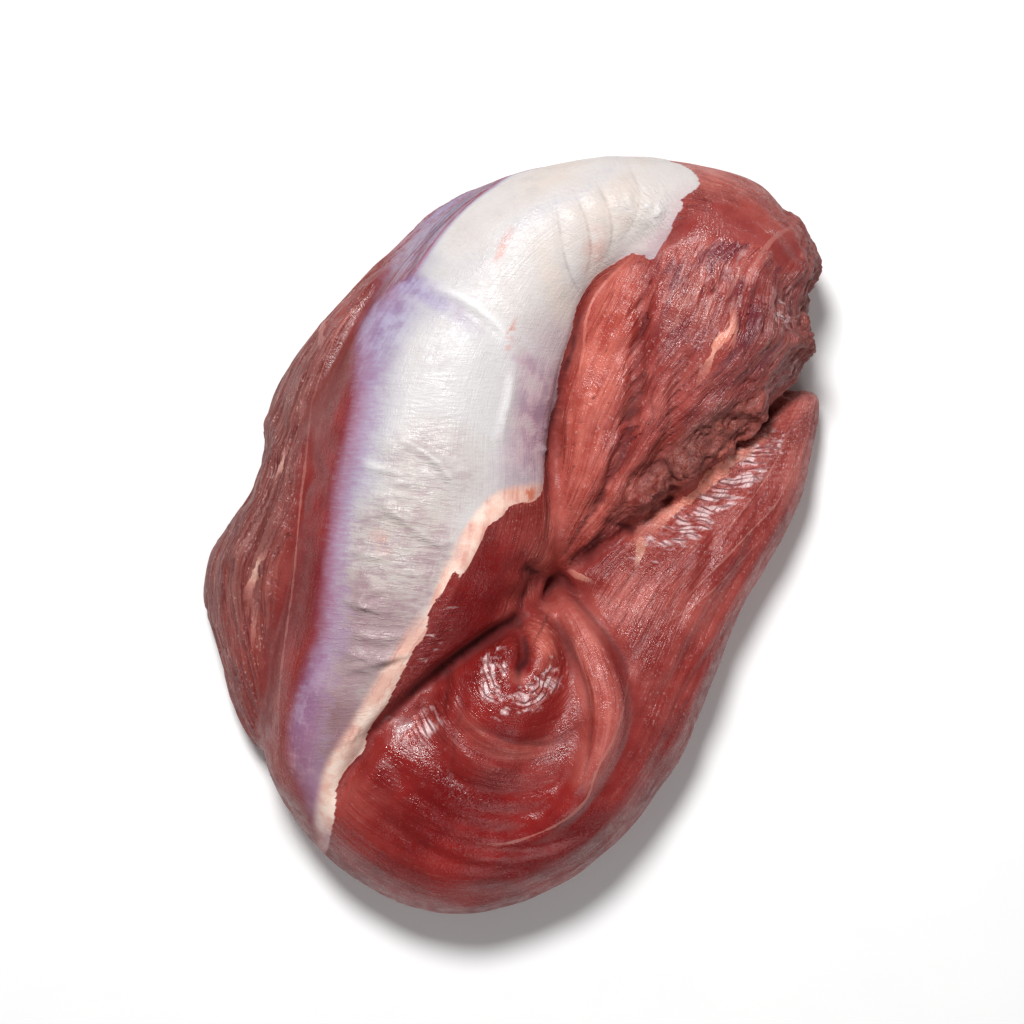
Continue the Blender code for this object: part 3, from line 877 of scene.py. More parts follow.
def emboss(obj):
    """Presses the folds into the upper side and raises the ridges, each fading out at its ends."""
    points, normals = read_skin(obj)
    lines = [(line, -depth, width) for line, depth, width in FOLDS]
    lines += [(arc(*ring), -RING_DEPTH, RING_WIDTH) for ring in BEND_RINGS]
    lines += RIDGES
    lift = np.zeros(len(points))
    for line, height, width in lines:
        lift += ridge(points, line, width, height, FOLD_END)
    points[:, 2] += lift * facing_up(normals)
    write_skin(obj, points)


def roughen(obj):
    """Low unevenness all over, and coarser lumps where the muscle was cut."""
    points, normals = read_skin(obj)
    lift = layers(points, UNEVEN)
    for x, y, radius, height, spacing in ROUGH:
        gap = from_spot(points, x, y)
        near = gap < radius
        zone = np.clip(ZONE_FADE * (1 - gap[near] / radius), 0, 1)
        lift[near] += height * zone * lumps(points[near], spacing)
    write_skin(obj, points + normals * lift[:, None])


def cut_foot(obj):
    """Slices the underside off flat at z = 0, where the meat's weight spreads it on the counter."""
    bm = open_mesh(obj)
    everything = bm.verts[:] + bm.edges[:] + bm.faces[:]
    cut = bmesh.ops.bisect_plane(
        bm, geom=everything, dist=FOOT_MERGE, plane_co=(0, 0, 0), plane_no=(0, 0, -1), clear_outer=True
    )
    edges = [e for e in cut["geom_cut"] if isinstance(e, bmesh.types.BMEdge)]
    bmesh.ops.triangle_fill(bm, edges=edges, use_beauty=True)
    bmesh.ops.recalc_face_normals(bm, faces=bm.faces)
    close_mesh(obj, bm)


def fit_to_box(obj):
    """Brings the skin to the model's own box, with its foot level at z = 0."""
    points, _ = read_skin(obj)
    points[:, 2] = np.where(points[:, 2] < FOOT_BAND, 0, points[:, 2])
    low, high = points.min(axis=0), points.max(axis=0)
    box_low, box_high = (np.array(corner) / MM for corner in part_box("tenderloin"))
    write_skin(obj, box_low + (points - low) * (box_high - box_low) / (high - low))


def build_skin(shape, lofts):
    bm = bmesh.new()
    for rings, poles, _ in lofts:
        add_muscle(bm, rings, poles)
    for tag in TAGS:
        add_tag(bm, *tag)
    bmesh.ops.recalc_face_normals(bm, faces=bm.faces)
    obj = mesh_object("meat", bm)
    fuse(obj, shape.grain)
    soften(obj, BLENDS, SOFTEN_PASSES)
    emboss(obj)
    roughen(obj)
    fuse(obj, shape.grain)
    soften(obj, (), LAST_PASSES)
    cut_foot(obj)
    fit_to_box(obj)
    return obj


def place_in(points, loft, girth):
    """Where each point lies on one loft: millimetres along it, millimetres across it, and how far off it is."""
    rings, _, travelled = loft
    spots = rings.reshape(-1, 3)
    turn = (np.arange(RING_POINTS) / RING_POINTS + 0.25) % 1 - 0.5
    along, across = np.repeat(travelled, RING_POINTS), np.tile(turn * girth, len(rings))
    du = (np.gradient(rings, axis=0) / np.gradient(travelled)[:, None, None]).reshape(-1, 3)
    dv = (np.roll(rings, -1, axis=1) - np.roll(rings, 1, axis=1)) / (2 * girth / RING_POINTS)
    tree = kdtree.KDTree(len(spots))
    for i, spot in enumerate(spots):
        tree.insert(spot, i)
    tree.balance()
    found = np.array([[(index, apart) for _, index, apart in tree.find_n(p, NEIGHBOURS)] for p in points])
    nearest, apart = found[:, :, 0].astype(int), found[:, :, 1]
    shares = apart[:, -1:] - apart + TINY_GAP
    shares /= shares.sum(axis=1)[:, None]
    gap = points[:, None] - spots[nearest]
    placed = []
    for known, step in ((along, du), (across, dv.reshape(-1, 3))):
        step = step[nearest]
        there = known[nearest]
        there = np.where(np.abs(there - there[:, :1]) < 0.5 * girth, there, there[:, :1])
        guess = there + (gap * step).sum(axis=2) / np.maximum((step**2).sum(axis=2), 0.05)
        placed.append((guess * shares).sum(axis=1))
    return (*placed, apart[:, 0])


def settled_in(gaps):
    """One where a point is clearly on one muscle, and zero where the two nearest are as near."""
    nearest, second = np.sort(gaps, axis=0)[:2]
    return smooth_step(second - nearest, *BORDER)


def fibre_field(points, lofts):
    """Each point's place in its muscle, in millimetres along and across it, which muscle that is, and how
    clearly it is on that one; then its place in the coil inside the bend, round it and out from its middle,
    how much of the point is the coil's, and zero along the muscles' borders, where fine patterns stop."""
    places = np.array([place_in(points, lofts[i], MUSCLES[i][-1]) for i in range(CORE_ID)])
    gaps = places[:, 2].copy()
    closest, second = gaps.argsort(axis=0)[:2]
    in_bend = (np.minimum(closest, second) == TAIL_ID) & (np.maximum(closest, second) == DOME_ID)
    clear = np.where(in_bend, 1, settled_in(gaps))
    gaps[DOME_ID] = FAR_OFF
    which = gaps.argmin(axis=0)
    u, v = (places[which, i, np.arange(len(points))] for i in (0, 1))
    settled = settled_in(gaps)
    reach = from_spot(points, *PUCKER)
    turn = np.arctan2(points[:, 0] - PUCKER[0], PUCKER[1] - points[:, 1]) * COIL_TURN
    coil = 1 - smooth_step(from_spot(points, *COIL[:2]), *COIL[2:])
    coil = np.where((closest == DOME_ID) | (which == TAIL_ID), coil, 0) * (points[:, 1] < COIL_TOP)
    return u, v, which, settled, turn, reach, coil, clear


def lies_inside(points, outline):
    """Which points lie inside a closed outline, seen in plan."""
    curve = smooth_through([*outline, outline[0]], OUTLINE_STEPS)[:-1]
    x, y = points[:, 0], points[:, 1]
    inside = np.zeros(len(points), bool)
    for (x0, y0), (x1, y1) in zip(curve, np.roll(curve, -1, axis=0)):
        crosses = (y0 > y) != (y1 > y)
        inside ^= crosses & (x < (x1 - x0) * (y - y0) / ((y1 - y0) or TINY) + x0)
    return inside


def touch(points, line, width):
    """One on the line, falling to zero at the width on either side of it, and towards the line's two ends."""
    gap, share = away_from(points, line, width)
    return (1 - smooth_step(gap, STROKE_CORE * width, width)) * fading(share, STROKE_END)


def near_to(points, x, y, radius):
    return 1 - smooth_step(from_spot(points, x, y), SPOT_CORE * radius, radius)


def field(u, v, long, wide, seed):
    """Noise stretched along the fibres: long and wide are the size of its lumps in millimetres."""
    return np.array([noise.noise(Vector((a / long, b / wide, seed))) for a, b in zip(u, v)])


def fine_lines(u, v, rows):
    """Thin lines where stretched noise crosses zero: share, length, spacing, seed and width of each set."""
    total = 0
    for share, long, wide, seed, width in rows:
        total = total + share * thin_line(field(u, v, long, wide, seed), width)
    return total


def thin_line(value, width):
    """One where noise crosses zero, and zero once it is the width away."""
    return np.clip(1 - np.abs(value) / width, 0, 1) ** 1.5


def from_edge(points, line, inside):
    """How far in from an edge of the silverskin each point lies, in centimetres. Near the line its side of it
    tells, because both edges have the skin on their left. Further off, being inside the outline does."""
    gap, _ = beside(points, line, EDGE_REACH)
    signed = np.where(np.abs(gap) < EDGE_SURE, gap, inside * np.abs(gap))
    return np.clip(signed, -EDGE_REACH, EDGE_REACH) / 10


def paint(obj, lofts):
    """Works out what the material reads at every point of the skin, and keeps it for the relief too."""
    points, normals = read_skin(obj)
    fibres = fibre_field(points, lofts)
    inside = np.where(lies_inside(points, SKIN_LEFT + SKIN_RIGHT + SKIN_BEYOND), 1.0, -1.0)
    to_left, to_right = (away_from(points, edge, EDGE_REACH)[0] for edge in (SKIN_LEFT, SKIN_RIGHT))
    up = smooth_step(normals[:, 2], *UPWARDS)
    wander = EDGE_WANDER * lumps(points, EDGE_SPACING) * (1 - up)
    marks = {
        "skin_left": from_edge(points, SKIN_LEFT, inside) + wander,
        "skin_edge": from_edge(points, SKIN_RIGHT, np.where(to_left < to_right, 1.0, inside)) + wander,
        "above": smooth_step(points[:, 2] + SKIN_FOOT_WANDER * lumps(points, EDGE_SPACING), *SKIN_FOOT),
        "up": up,
    }
    marks["pale"], marks["pale_near"] = lines_at(points, PALE_LINES)
    # Painted shade: a dark line along each crease, as dark as its row says.
    dark_lines = [(line, DARK_NARROWING * width, dark) for line, _, width, dark in CREASES]
    marks["dark"], marks["dark_near"] = lines_at(points, dark_lines)
    for name, strokes in STROKES.items():
        marks[name] = np.zeros(len(points))
        for line, width, strength in strokes:
            mark = near_to(points, *line[0], width) if len(line) == 1 else touch(points, line, width)
            marks[name] = np.maximum(marks[name], strength * mark)
    return points, normals, fibres, marks


def relief(obj, shape, points, normals, fibres, marks):
    """Moves the skin in and out for the creases, the strands, the silverskin's wrinkles and the torn edge."""
    u, v, which, settled, turn, reach, coil, clear = fibres
    v = v + FIBRE_WAVE * lumps(points, FIBRE_WAVE_SPACING) + which * MUSCLE_OFFSET
    facing = facing_up(normals)
    lift = np.zeros(len(points))
    for line, depth, width, _ in CREASES:
        lift -= ridge(points, line, width + CREASE_WIDENING, CREASE_SHARE * depth) * facing
    marks["crest"] = np.zeros(len(points))
    for line, height, width in WRINKLES:
        crest = ridge(points, line, width + WRINKLE_WIDENING)
        lift += WRINKLE_SHARE * height * crest
        marks["crest"] = np.maximum(marks["crest"], crest)
    for line, width, strength in PALE_LINES:
        lift += ridge(points, line, width + THREAD_WIDENING, THREAD_HEIGHT * strength)

    # The strands: weak where the muscle is smooth, or where the silverskin covers it.
    skin = smooth_step(marks["skin_left"], 0.0, 0.7) * smooth_step(marks["skin_edge"], -0.1, 0.1)
    skin = skin * marks["above"]
    smooth_bend = np.maximum(near_to(points, *BEND_BACK), 0.8 * marks["deep"])
    weights = np.array(STRAND_SHARES)[which] * (1 - 0.9 * skin) * (1 - 0.8 * smooth_bend)
    weights = weights * settled * clear * (1 - coil) * (0.45 + 0.75 * smooth_step(lumps(points, 8), -0.25, 0.3))
    depth = shape.strand_depth / MM
    lift -= depth * weights * fine_lines(u, v, STRANDS)
    lift += BUNDLE_SHARE * depth * weights * field(u, v, *BUNDLES)

    # Puckers in the silverskin, bars across the membrane, and the crumbled cut.
    puckers = fine_lines(u, v, PUCKERS)
    gathered = marks["wrinkled"] * smooth_step(lumps(points, 10), -0.15, 0.35)
    puckers *= gathered * smooth_step(marks["skin_left"], 0.6, 1.3)
    lift += shape.wrinkle_height / MM * puckers
    marks["crest"] = np.maximum(marks["crest"], puckers)
    barred = (1 - coil) * settled * fine_lines(u, v, BARS) + coil * fine_lines(turn, reach, ARCS)
    lift -= BAR_DEPTH * clear * barred * marks["hatched"]
    crumbs = layers(points, CRUMBS) - CRUMB_SINK + FIN_SHARE * thin_line(lumps(points, FIN_SPACING), FIN_WIDTH)
    lift += shape.torn_depth / MM * crumbs * marks["torn"]
    lift += SKIN_THICKNESS * skin * smooth_step(marks["skin_edge"], -0.1, 0.2)
    lift *= smooth_step(points[:, 2], 0.3, 5.0)
    write_skin(obj, points + normals * lift[:, None])


def hollows(obj):
    """How deep each point lies in a crease: the gap between it and the skin smoothed over."""
    points, normals = read_skin(obj)
    bm = open_mesh(obj)
    total = np.zeros(len(points))
    for passes, share in SMOOTHINGS:
        for _ in range(passes):
            smooth_once(bm, bm.verts[:])
        smoothed = np.array([v.co for v in bm.verts]) / MM
        total += share * ((smoothed - points) * normals).sum(axis=1)
    bm.free()
    return total


def take_off_sharpness(obj, marks):
    """Softens the sharpest dents and edges, but not those of the cut or the wrinkles."""
    hollow = marks["hollow"]
    sharp = np.where(hollow > 0, hollow > SHARP_IN, hollow < SHARP_OUT)
    sharp &= (marks["torn"] < TORN_KEPT) & (marks["crest"] < CREST_KEPT)
    bm = open_mesh(obj)
    bm.verts.ensure_lookup_table()
    chosen = [bm.verts[i] for i in np.nonzero(sharp)[0]]
    for _ in range(SHARP_PASSES):
        smooth_once(bm, chosen)
    close_mesh(obj, bm)


def keep_attribute(obj, name, kind, values):
    made = obj.data.attributes.new(name, kind, "POINT")
    made.data.foreach_set("vector" if kind == "FLOAT_VECTOR" else "value", values.astype(np.float32).ravel())


def keep_all(obj, fibres, marks):
    u, v, which, settled, turn, reach, coil, clear = fibres
    numbers = {**marks, "muscle": which * MUSCLE_SEED, "settled": settled, "coil": coil, "clear": clear}
    for name, values in numbers.items():
        keep_attribute(obj, name, "FLOAT", values)
    flat = np.zeros(len(u))
    keep_attribute(obj, "fibre", "FLOAT_VECTOR", np.stack([u, v, flat], axis=1))
    keep_attribute(obj, "around", "FLOAT_VECTOR", np.stack([turn, reach, flat], axis=1))


class Value:
    """A number that varies over the surface. Arithmetic on it adds the nodes that work it out."""

    def __init__(self, nodes, socket):
        self.nodes, self.socket = nodes, socket

    def math(self, operation, other=0.0, clamp=False):
        return self.nodes.value("ShaderNodeMath", {0: self, 1: other}, operation=operation, use_clamp=clamp)

    def __add__(self, other):
        return self.math("ADD", other)

    def __sub__(self, other):
        return self.math("SUBTRACT", other)

    def __mul__(self, other):
        return self.math("MULTIPLY", other)

    def __truediv__(self, other):
        return self.math("DIVIDE", other)

    def __rsub__(self, other):
        return self.nodes.value("ShaderNodeMath", {0: other, 1: self}, operation="SUBTRACT")

    def __abs__(self):
        return self.math("ABSOLUTE")

    def between(self, low, high, to_low=0.0, to_high=1.0):
        """Its way from low to high, eased and clamped."""
        inputs = {"Value": self, "From Min": low, "From Max": high, "To Min": to_low, "To Max": to_high}
        return self.nodes.value("ShaderNodeMapRange", inputs, interpolation_type="SMOOTHSTEP")

    def centred(self, size):
        """Noise that swings round zero, so many times as far."""
        return (self - 0.5) * size

    def line(self, width):
        """One where noise passes its middle, and zero once it is the width away: thin lines."""
        return abs(self - 0.5).between(width, 0.0)


class Nodes:
    """Short ways to add the nodes of one material or group."""

    def __init__(self, tree):
        self.tree = tree

    def add(self, kind, inputs=(), **settings):
        node = self.tree.nodes.new(kind)
        for key, value in settings.items():
            setattr(node, key, value)
        for key, value in dict(inputs).items():
            self.feed(node.inputs[key], value)
        return node

    def value(self, kind, inputs=(), output=0, **settings):
        return Value(self, self.add(kind, inputs, **settings).outputs[output])

    def feed(self, socket, value):
        """Links a value or a colour to the socket, or sets the socket to it."""
        if isinstance(value, Value):
            value = value.socket
        if isinstance(value, bpy.types.NodeSocket):
            self.tree.links.new(value, socket)
        else:
            socket.default_value = (*value, 1.0) if socket.type == "RGBA" else value

    def mark(self, name):
        return self.value("ShaderNodeAttribute", output="Fac", attribute_name=name)

    def place(self, name):
        """The first two numbers of an attribute that holds a place."""
        vector = self.add("ShaderNodeAttribute", attribute_name=name).outputs["Vector"]
        split = self.add("ShaderNodeSeparateXYZ", {0: vector}).outputs
        return Value(self, split[0]), Value(self, split[1])

    def vector(self, x, y, z):
        return self.add("ShaderNodeCombineXYZ", {0: x, 1: y, 2: z}).outputs[0]

    def noise(self, vector, scale, detail=2.0, rough=0.5):
        inputs = {"Vector": vector, "Scale": scale, "Detail": detail, "Roughness": rough}
        return self.value("ShaderNodeTexNoise", inputs, "Fac")

    def blend(self, share, first, second):
        """From one value to another."""
        return self.value("ShaderNodeMix", {0: share, 2: first, 3: second})

    def mix(self, share, first, second):
        """From one colour to another."""
        return self.add("ShaderNodeMix", {0: share, 6: first, 7: second}, data_type="RGBA").outputs[2]

    def layered(self, colour, *layers):
        """The colour with other colours laid over it in turn, each by its own share."""
        for share, tint in layers:
            colour = self.mix(share, colour, tint)
        return colour

    def ramp(self, value, stops):
        node = self.add("ShaderNodeValToRGB", {"Fac": value})
        elements = node.color_ramp.elements
        while len(elements) < len(stops):
            elements.new(0.5)
        for element, (place, colour) in zip(elements, stops):
            element.position, element.color = place, (*colour, 1.0)
        return node.outputs["Color"]


def value_group(name, inputs):
    """A new group that puts out one value: the group, its nodes, its inputs and the socket for the value."""
    group = bpy.data.node_groups.new(name, "ShaderNodeTree")
    for label, default in inputs.items():
        group.interface.new_socket(label, in_out="INPUT", socket_type="NodeSocketFloat").default_value = default
    group.interface.new_socket("Value", in_out="OUTPUT", socket_type="NodeSocketFloat")
    n = Nodes(group)
    return group, n, n.add("NodeGroupInput").outputs, n.add("NodeGroupOutput").inputs["Value"]


def streaks_group():
    """Noise stretched along the muscle: how long and how wide its streaks are, in millimetres."""
    group, n, given, out = value_group("streaks", {"Long": 20.0, "Wide": 2.0, "Seed": 0.0})

    def stretched(attribute, seed):
        along, across = n.place(attribute)
        return n.noise(n.vector(along / given["Long"], across / given["Wide"], seed), 1.0, 3.0, 0.55)

    fibre = n.blend(n.mark("settled"), 0.5, stretched("fibre", n.mark("muscle") + given["Seed"]))
    both = n.blend(n.mark("coil"), fibre, stretched("around", given["Seed"]))
    n.feed(out, n.blend(n.mark("clear"), 0.5, both))
    return group


def stripes_group():
    """Fine parallel lines across the muscle, and round the coil, that waver and break up."""
    group, n, given, out = value_group("stripes", {"Pitch": 1.6, "Seed": 0.0})

    def waves(across, beyond):
        shift = n.noise(n.vector(across / 7.0, beyond / 13.0, given["Seed"]), 1.0, 1.0)
        turns = across / given["Pitch"] + (shift * 3.2 + beyond / 30.0)
        return (turns * (2 * math.pi)).math("SINE")

    turn, reach = n.place("around")
    both = n.blend(n.mark("coil"), waves(*n.place("fibre")) * n.mark("settled"), waves(reach, turn))
    n.feed(out, both * n.mark("clear"))
    return group


class Marks:
    """What the skin's points know, by name."""

    def __init__(self, nodes, names):
        for name in names:
            setattr(self, name, nodes.mark(name))


def raw_meat(colours):
    made = bpy.data.materials.new("raw_veal")
    made.use_nodes = True
    n = Nodes(made.node_tree)
    streak_nodes, stripe_nodes = streaks_group(), stripes_group()
    at = Marks(n, (*MARKS, *STROKES))

    def streaks(long, wide, seed):
        return n.value("ShaderNodeGroup", {"Long": long, "Wide": wide, "Seed": seed}, node_tree=streak_nodes)

    def turned(long, wide, seed):
        """Streaks that cross the muscle, and run round the coil."""
        return n.blend(n.mark("coil"), streaks(long, wide, seed), streaks(wide, long, seed))

    spot = n.add("ShaderNodeTexCoord").outputs["Object"]
    cloud = n.noise(spot, 45.0, 3.0, 0.6)
    mottle = n.noise(spot, 190.0, 3.0, 0.6)
    grit = n.noise(spot, 900.0, 2.0, 0.6)
    long_streaks = streaks(30.0, 1.5, 0.0)
    thin_streaks = streaks(9.0, 0.5, 4.0)
    bars = streaks(0.9, 4.0, 8.0)
    strands = streaks(60.0, 0.9, 12.0)
    firm = at.deep.between(0.0, 1.0, 1.0, 0.25) * at.smooth.between(0.0, 1.0, 1.0, 0.35)
    firm = firm * at.torn.between(0.0, 1.0, 1.0, 0.2)
    stripes = n.value("ShaderNodeGroup", {"Pitch": 1.9, "Seed": 3.0}, node_tree=stripe_nodes)
    hatch = stripes.between(0.1, 0.95) * turned(4.0, 7.0, 15.0).between(0.34, 0.5, 0.3, 1.0)
    hatch = hatch.math("MAXIMUM", turned(24.0, 2.8, 18.0).line(0.03) * 0.7)

    # Muscle: deep where it is smooth and wet, paler and duller where it met the air.
    tone = (cloud * 0.45 + long_streaks * 0.35 + mottle * 0.2).between(0.4, 0.6)
    low_tone = n.mix(cloud.between(0.35, 0.65), colours.deep, (0.24, 0.010, 0.009))
    strap = n.mix(strands.between(0.42, 0.58), (0.12, 0.022, 0.017), (0.27, 0.115, 0.10))
    # Dusky bruises and thin shiny films where the muscle was pulled apart.
    bruises = streaks(15.0, 4.0, 33.0).between(0.53, 0.38) * at.filmy
    films = streaks(11.0, 2.4, 31.0).between(0.55, 0.68) * cloud.between(0.40, 0.55) * at.filmy
    # Grooves along the fibres, dented by the bump and darkened with painted shade.
    shaded_grooves = streaks(24.0, 2.4, 21.0).line(0.05) * (firm * cloud.between(0.35, 0.6, 0.2, 1.0))
    shaded_grooves = shaded_grooves * at.dull.between(0.0, 0.6, 0.35, 1.0)
    pale_hairs = thin_streaks.between(0.60, 0.72) * cloud.between(0.42, 0.62)
    # Painted shade: dark hairlines for the gaps between the strands.
    strand_gap_shade = thin_streaks.between(0.44, 0.3)
    # Painted glints: pale specks along the fibres, where a wet surface would catch the light.
    painted_glints = grit.between(0.56, 0.68) * thin_streaks.between(0.48, 0.60)
    # A thin film, whitish between the fine dark lines that cross it: its white is partly the film's own colour
    # and partly a painted highlight.
    dabs = turned(2.4, 7.0, 36.0)
    film_and_highlight = at.hatched * 0.6 + (dabs * 0.7 + cloud * 0.3).centred(2.4)
    film_and_highlight = film_and_highlight.between(0.25, 0.6) * at.hatched.between(0.0, 0.4)
    # Near-white in patches, partly a painted highlight where the wet film would catch the light.
    white = n.mix((dabs * 0.6 + mottle * 0.4).between(0.46, 0.58), (0.46, 0.12, 0.11), (0.84, 0.60, 0.60))
    crumbled = n.mix(mottle.between(0.4, 0.6), (0.15, 0.030, 0.022), (0.27, 0.070, 0.052))
    muscle = n.layered(
        n.mix(tone, (0.22, 0.022, 0.020), colours.bright),
        (at.deep * 0.97, low_tone),
        (at.dull * 0.85, n.mix(cloud * 0.5, strap, (0.20, 0.045, 0.036))),
        (at.rosy * 0.8, n.mix(tone, (0.42, 0.070, 0.055), (0.66, 0.20, 0.165))),
        (at.orange * 0.8, n.mix(tone, (0.40, 0.058, 0.040), (0.62, 0.160, 0.120))),
        (bruises * 0.75, (0.125, 0.018, 0.030)),
        (films * 0.6, (0.52, 0.27, 0.27)),
        (shaded_grooves * 0.5, (0.10, 0.008, 0.014)),
        (pale_hairs * 0.5 * firm, (0.58, 0.26, 0.22)),
        (strand_gap_shade * 0.6 * firm, (0.08, 0.006, 0.008)),
        (painted_glints * at.deep.between(0.0, 1.0, 0.40, 0.06), (0.78, 0.45, 0.42)),
        (film_and_highlight * 0.9, white),
        (hatch * film_and_highlight * 0.9, (0.15, 0.010, 0.012)),
        (at.torn * 0.65, crumbled),
        (grit.between(0.5, 0.35) * at.torn * 0.7, (0.10, 0.018, 0.014)),
    )

    # Silverskin over it: violet where it starts on the left, white where it is thick, mauve where it is thin,
    # and greyer and darker towards the bend, partly painted shade.
    wander = (bars.centred(0.8) + mottle.centred(0.7)) * at.skin_left.between(0.0, 1.0, 0.15, 1.0)
    inwards = (at.skin_left + wander) * at.thin.between(0.4, 1.0, 0.40, 0.30)
    inwards = inwards + at.full * 0.9 * at.skin_left.between(-0.05, 0.25)
    bluish = at.skin_edge.between(1.2, 2.8)
    light_lilac = n.mix(bluish, (0.52, 0.28, 0.35), (0.37, 0.32, 0.49))
    dark_lilac = n.mix(bluish, colours.violet, (0.22, 0.12, 0.27))
    soft_streaks = (cloud * 0.4 + mottle * 0.4 + long_streaks * 0.2).between(0.42, 0.58)
    patches = mottle.between(0.45, 0.62) * cloud.between(0.45, 0.6, 0.1, 0.5)
    dashes = bars.between(0.52, 0.68) * cloud.between(0.4, 0.6, 0.05, 0.22)
    # Thin skin: mauve over the muscle, and its greying and darkening towards the bend partly painted shade.
    thin_and_shaded = n.ramp(at.thin, THIN_AND_SHADED_SKIN)
    thin_and_shaded = n.mix((mottle * 0.5 + bars * 0.5).between(0.40, 0.56), n.mix(0.55, thin_and_shaded, (0.27, 0.13, 0.17)), thin_and_shaded)
    fatty = n.mix(long_streaks.between(0.45, 0.62), colours.fat, (0.66, 0.34, 0.28))
    marbled = (cloud * 0.6 + mottle * 0.4).between(0.42, 0.58)
    peach = at.fat + (bars * 0.5 + long_streaks * 0.5).centred(1.4) * at.fat
    skin = n.layered(
        n.ramp(inwards, (*THIN_EDGE, (0.72, colours.skin))),
        (at.violet * 0.85, n.mix(soft_streaks, dark_lilac, light_lilac)),
        (at.warm * cloud.between(0.3, 0.6, 0.45, 0.95) * inwards.between(0.5, 0.9), (0.63, 0.535, 0.48)),
        # Painted highlight: the tops of the silverskin's wrinkles laid on lighter.
        (at.crest * 0.75, (0.80, 0.785, 0.78)),
        (patches * inwards.between(0.5, 0.8), (0.52, 0.48, 0.465)),
        (dashes * at.warm.between(0.0, 1.0, 1.0, 0.35), (0.40, 0.36, 0.38)),
        (at.thin.between(0.1, 0.6) * inwards.between(0.15, 0.42) * 0.9, thin_and_shaded),
        (thin_streaks.between(0.62, 0.74) * 0.3, (0.50, 0.25, 0.28)),
        (peach.between(0.15, 0.8), n.mix(marbled, fatty, (0.88, 0.68, 0.58))),
        (at.vein * mottle.between(0.4, 0.55), (0.60, 0.17, 0.10)),
    )
    ragged = grit.centred(0.03) + mottle.centred(0.07)
    cover = inwards.between(-0.07, 0.09) * (at.skin_edge + ragged).between(-0.03, 0.05) * at.above
    sheen = at.sheen * (long_streaks + mottle.centred(0.4)).between(0.3, 0.6) * (1.0 - cover) * at.above

    # Threads of fat, over painted shade in the hollows and along the creases.
    thread = (abs(at.pale) / mottle.between(0.3, 0.7, 0.3, 1.5)).between(1.05, 0.7) * at.pale_near
    seam = n.mix(mottle.between(0.4, 0.6), colours.fat, (0.55, 0.24, 0.17))
    pale = n.mix(at.pale_near.between(0.5, 0.9), (0.50, 0.20, 0.17), seam)
    # Painted shade in the hollows: near-black on the muscle, mauve on the silverskin, weaker on the torn cut.
    hollow_shade = at.hollow.between(0.1, 0.9) * at.torn.between(0.2, 1.0, 0.7, 0.35)
    # Painted shade: a near-black line along each crease, broken up a little.
    cut = abs(at.dark).between(1.5, 0.0) * at.dark_near * mottle.between(0.35, 0.6, 0.35, 1.0)
    colour = n.layered(
        muscle,
        (cover, skin),
        (sheen * 0.9, n.mix(strands, (0.18, 0.15, 0.28), (0.42, 0.42, 0.58))),
        (hollow_shade, n.mix(cover, (0.06, 0.003, 0.004), (0.34, 0.25, 0.26))),
        (cut * 0.85, (0.04, 0.002, 0.003)),
        (thread * 0.9, n.mix(at.orange * 0.8, pale, (0.86, 0.27, 0.19))),
    )

    wet = n.noise(spot, 260.0, 3.0, 0.6).between(0.35, 0.65, 0.16, 0.36)
    rough = wet + at.glossy * -0.10 + at.torn * 0.12 + at.up.between(0.0, 1.0, 0.22, 0.0)
    rough = rough + at.hollow.between(0.05, 0.6, 0.0, 0.45) + at.dark_near * 0.35 + at.dull * 0.12

    fibres = thin_streaks * 0.9 + long_streaks * 0.8 - shaded_grooves * 0.4
    fibres = fibres * cover.between(0.0, 1.0, 1.0, 0.2) * firm
    ribbed = bars * (cover * at.fat.between(0.0, 0.6, 0.35, 0.1))
    across = ribbed - hatch * at.hatched * 0.5 + bars * at.hatched * 0.8
    beads = (grit + n.noise(spot, 2000.0, 1.0, 0.5)) * (cover.between(0.0, 1.0, 0.22, 0.12) + at.torn * 0.4)
    pleats = streaks(2.2, 9.0, 24.0).line(0.06) * at.wrinkled * 0.2
    height = (fibres + across + (beads + pleats)) * at.hollow.between(0.1, 0.8, 1.0, 0.2)
    bump = n.add("ShaderNodeBump", {"Height": height, "Strength": BUMP_STRENGTH, "Distance": BUMP_DEPTH})

    shader = made.node_tree.nodes["Principled BSDF"].inputs
    shader["IOR"].default_value = WET_IOR
    n.feed(shader["Base Color"], colour)
    n.feed(shader["Roughness"], rough.math("ADD", cover * 0.14, clamp=True))
    n.feed(shader["Normal"], bump.outputs["Normal"])
    return made


class MESH_OT_veal_tenderloin(Operator):
    """Builds the meat: its form, its relief and its raw surface"""

    bl_idname = "mesh.veal_tenderloin"
    bl_label = "Veal tenderloin"
    bl_options = {"REGISTER", "UNDO"}

    def execute(self, context):
        shape, colours = context.scene.meat_shape, context.scene.meat_colours
        lofts = [muscle_rings(*row[:-1]) for row in MUSCLES]
        obj = build_skin(shape, lofts)
        points, normals, fibres, marks = paint(obj, lofts)
        relief(obj, shape, points, normals, fibres, marks)
        marks["hollow"] = hollows(obj)
        take_off_sharpness(obj, marks)
        keep_all(obj, fibres, marks)
        obj.data.shade_smooth()
        obj.data.materials.append(raw_meat(colours))
        if len(obj.data.polygons) < FEWEST_FACES:
            raise RuntimeError("the meat has no skin: check the grain")
        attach(obj, "root")
        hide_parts("tenderloin")
        return {"FINISHED"}


FLOOR_REACH = 3.0
FLOOR_ROUGHNESS = 0.8
FLOOR_GREYS = ((0.91, 0.91, 0.91), (0.94, 0.94, 0.935))
CAMERA_LENS = 96.6
CAMERA_PLACE = (0.98 * MM, -0.33 * MM)
CAMERA_TURN = math.radians(27)
CAMERA_CLIP = (0.01, 20.0)
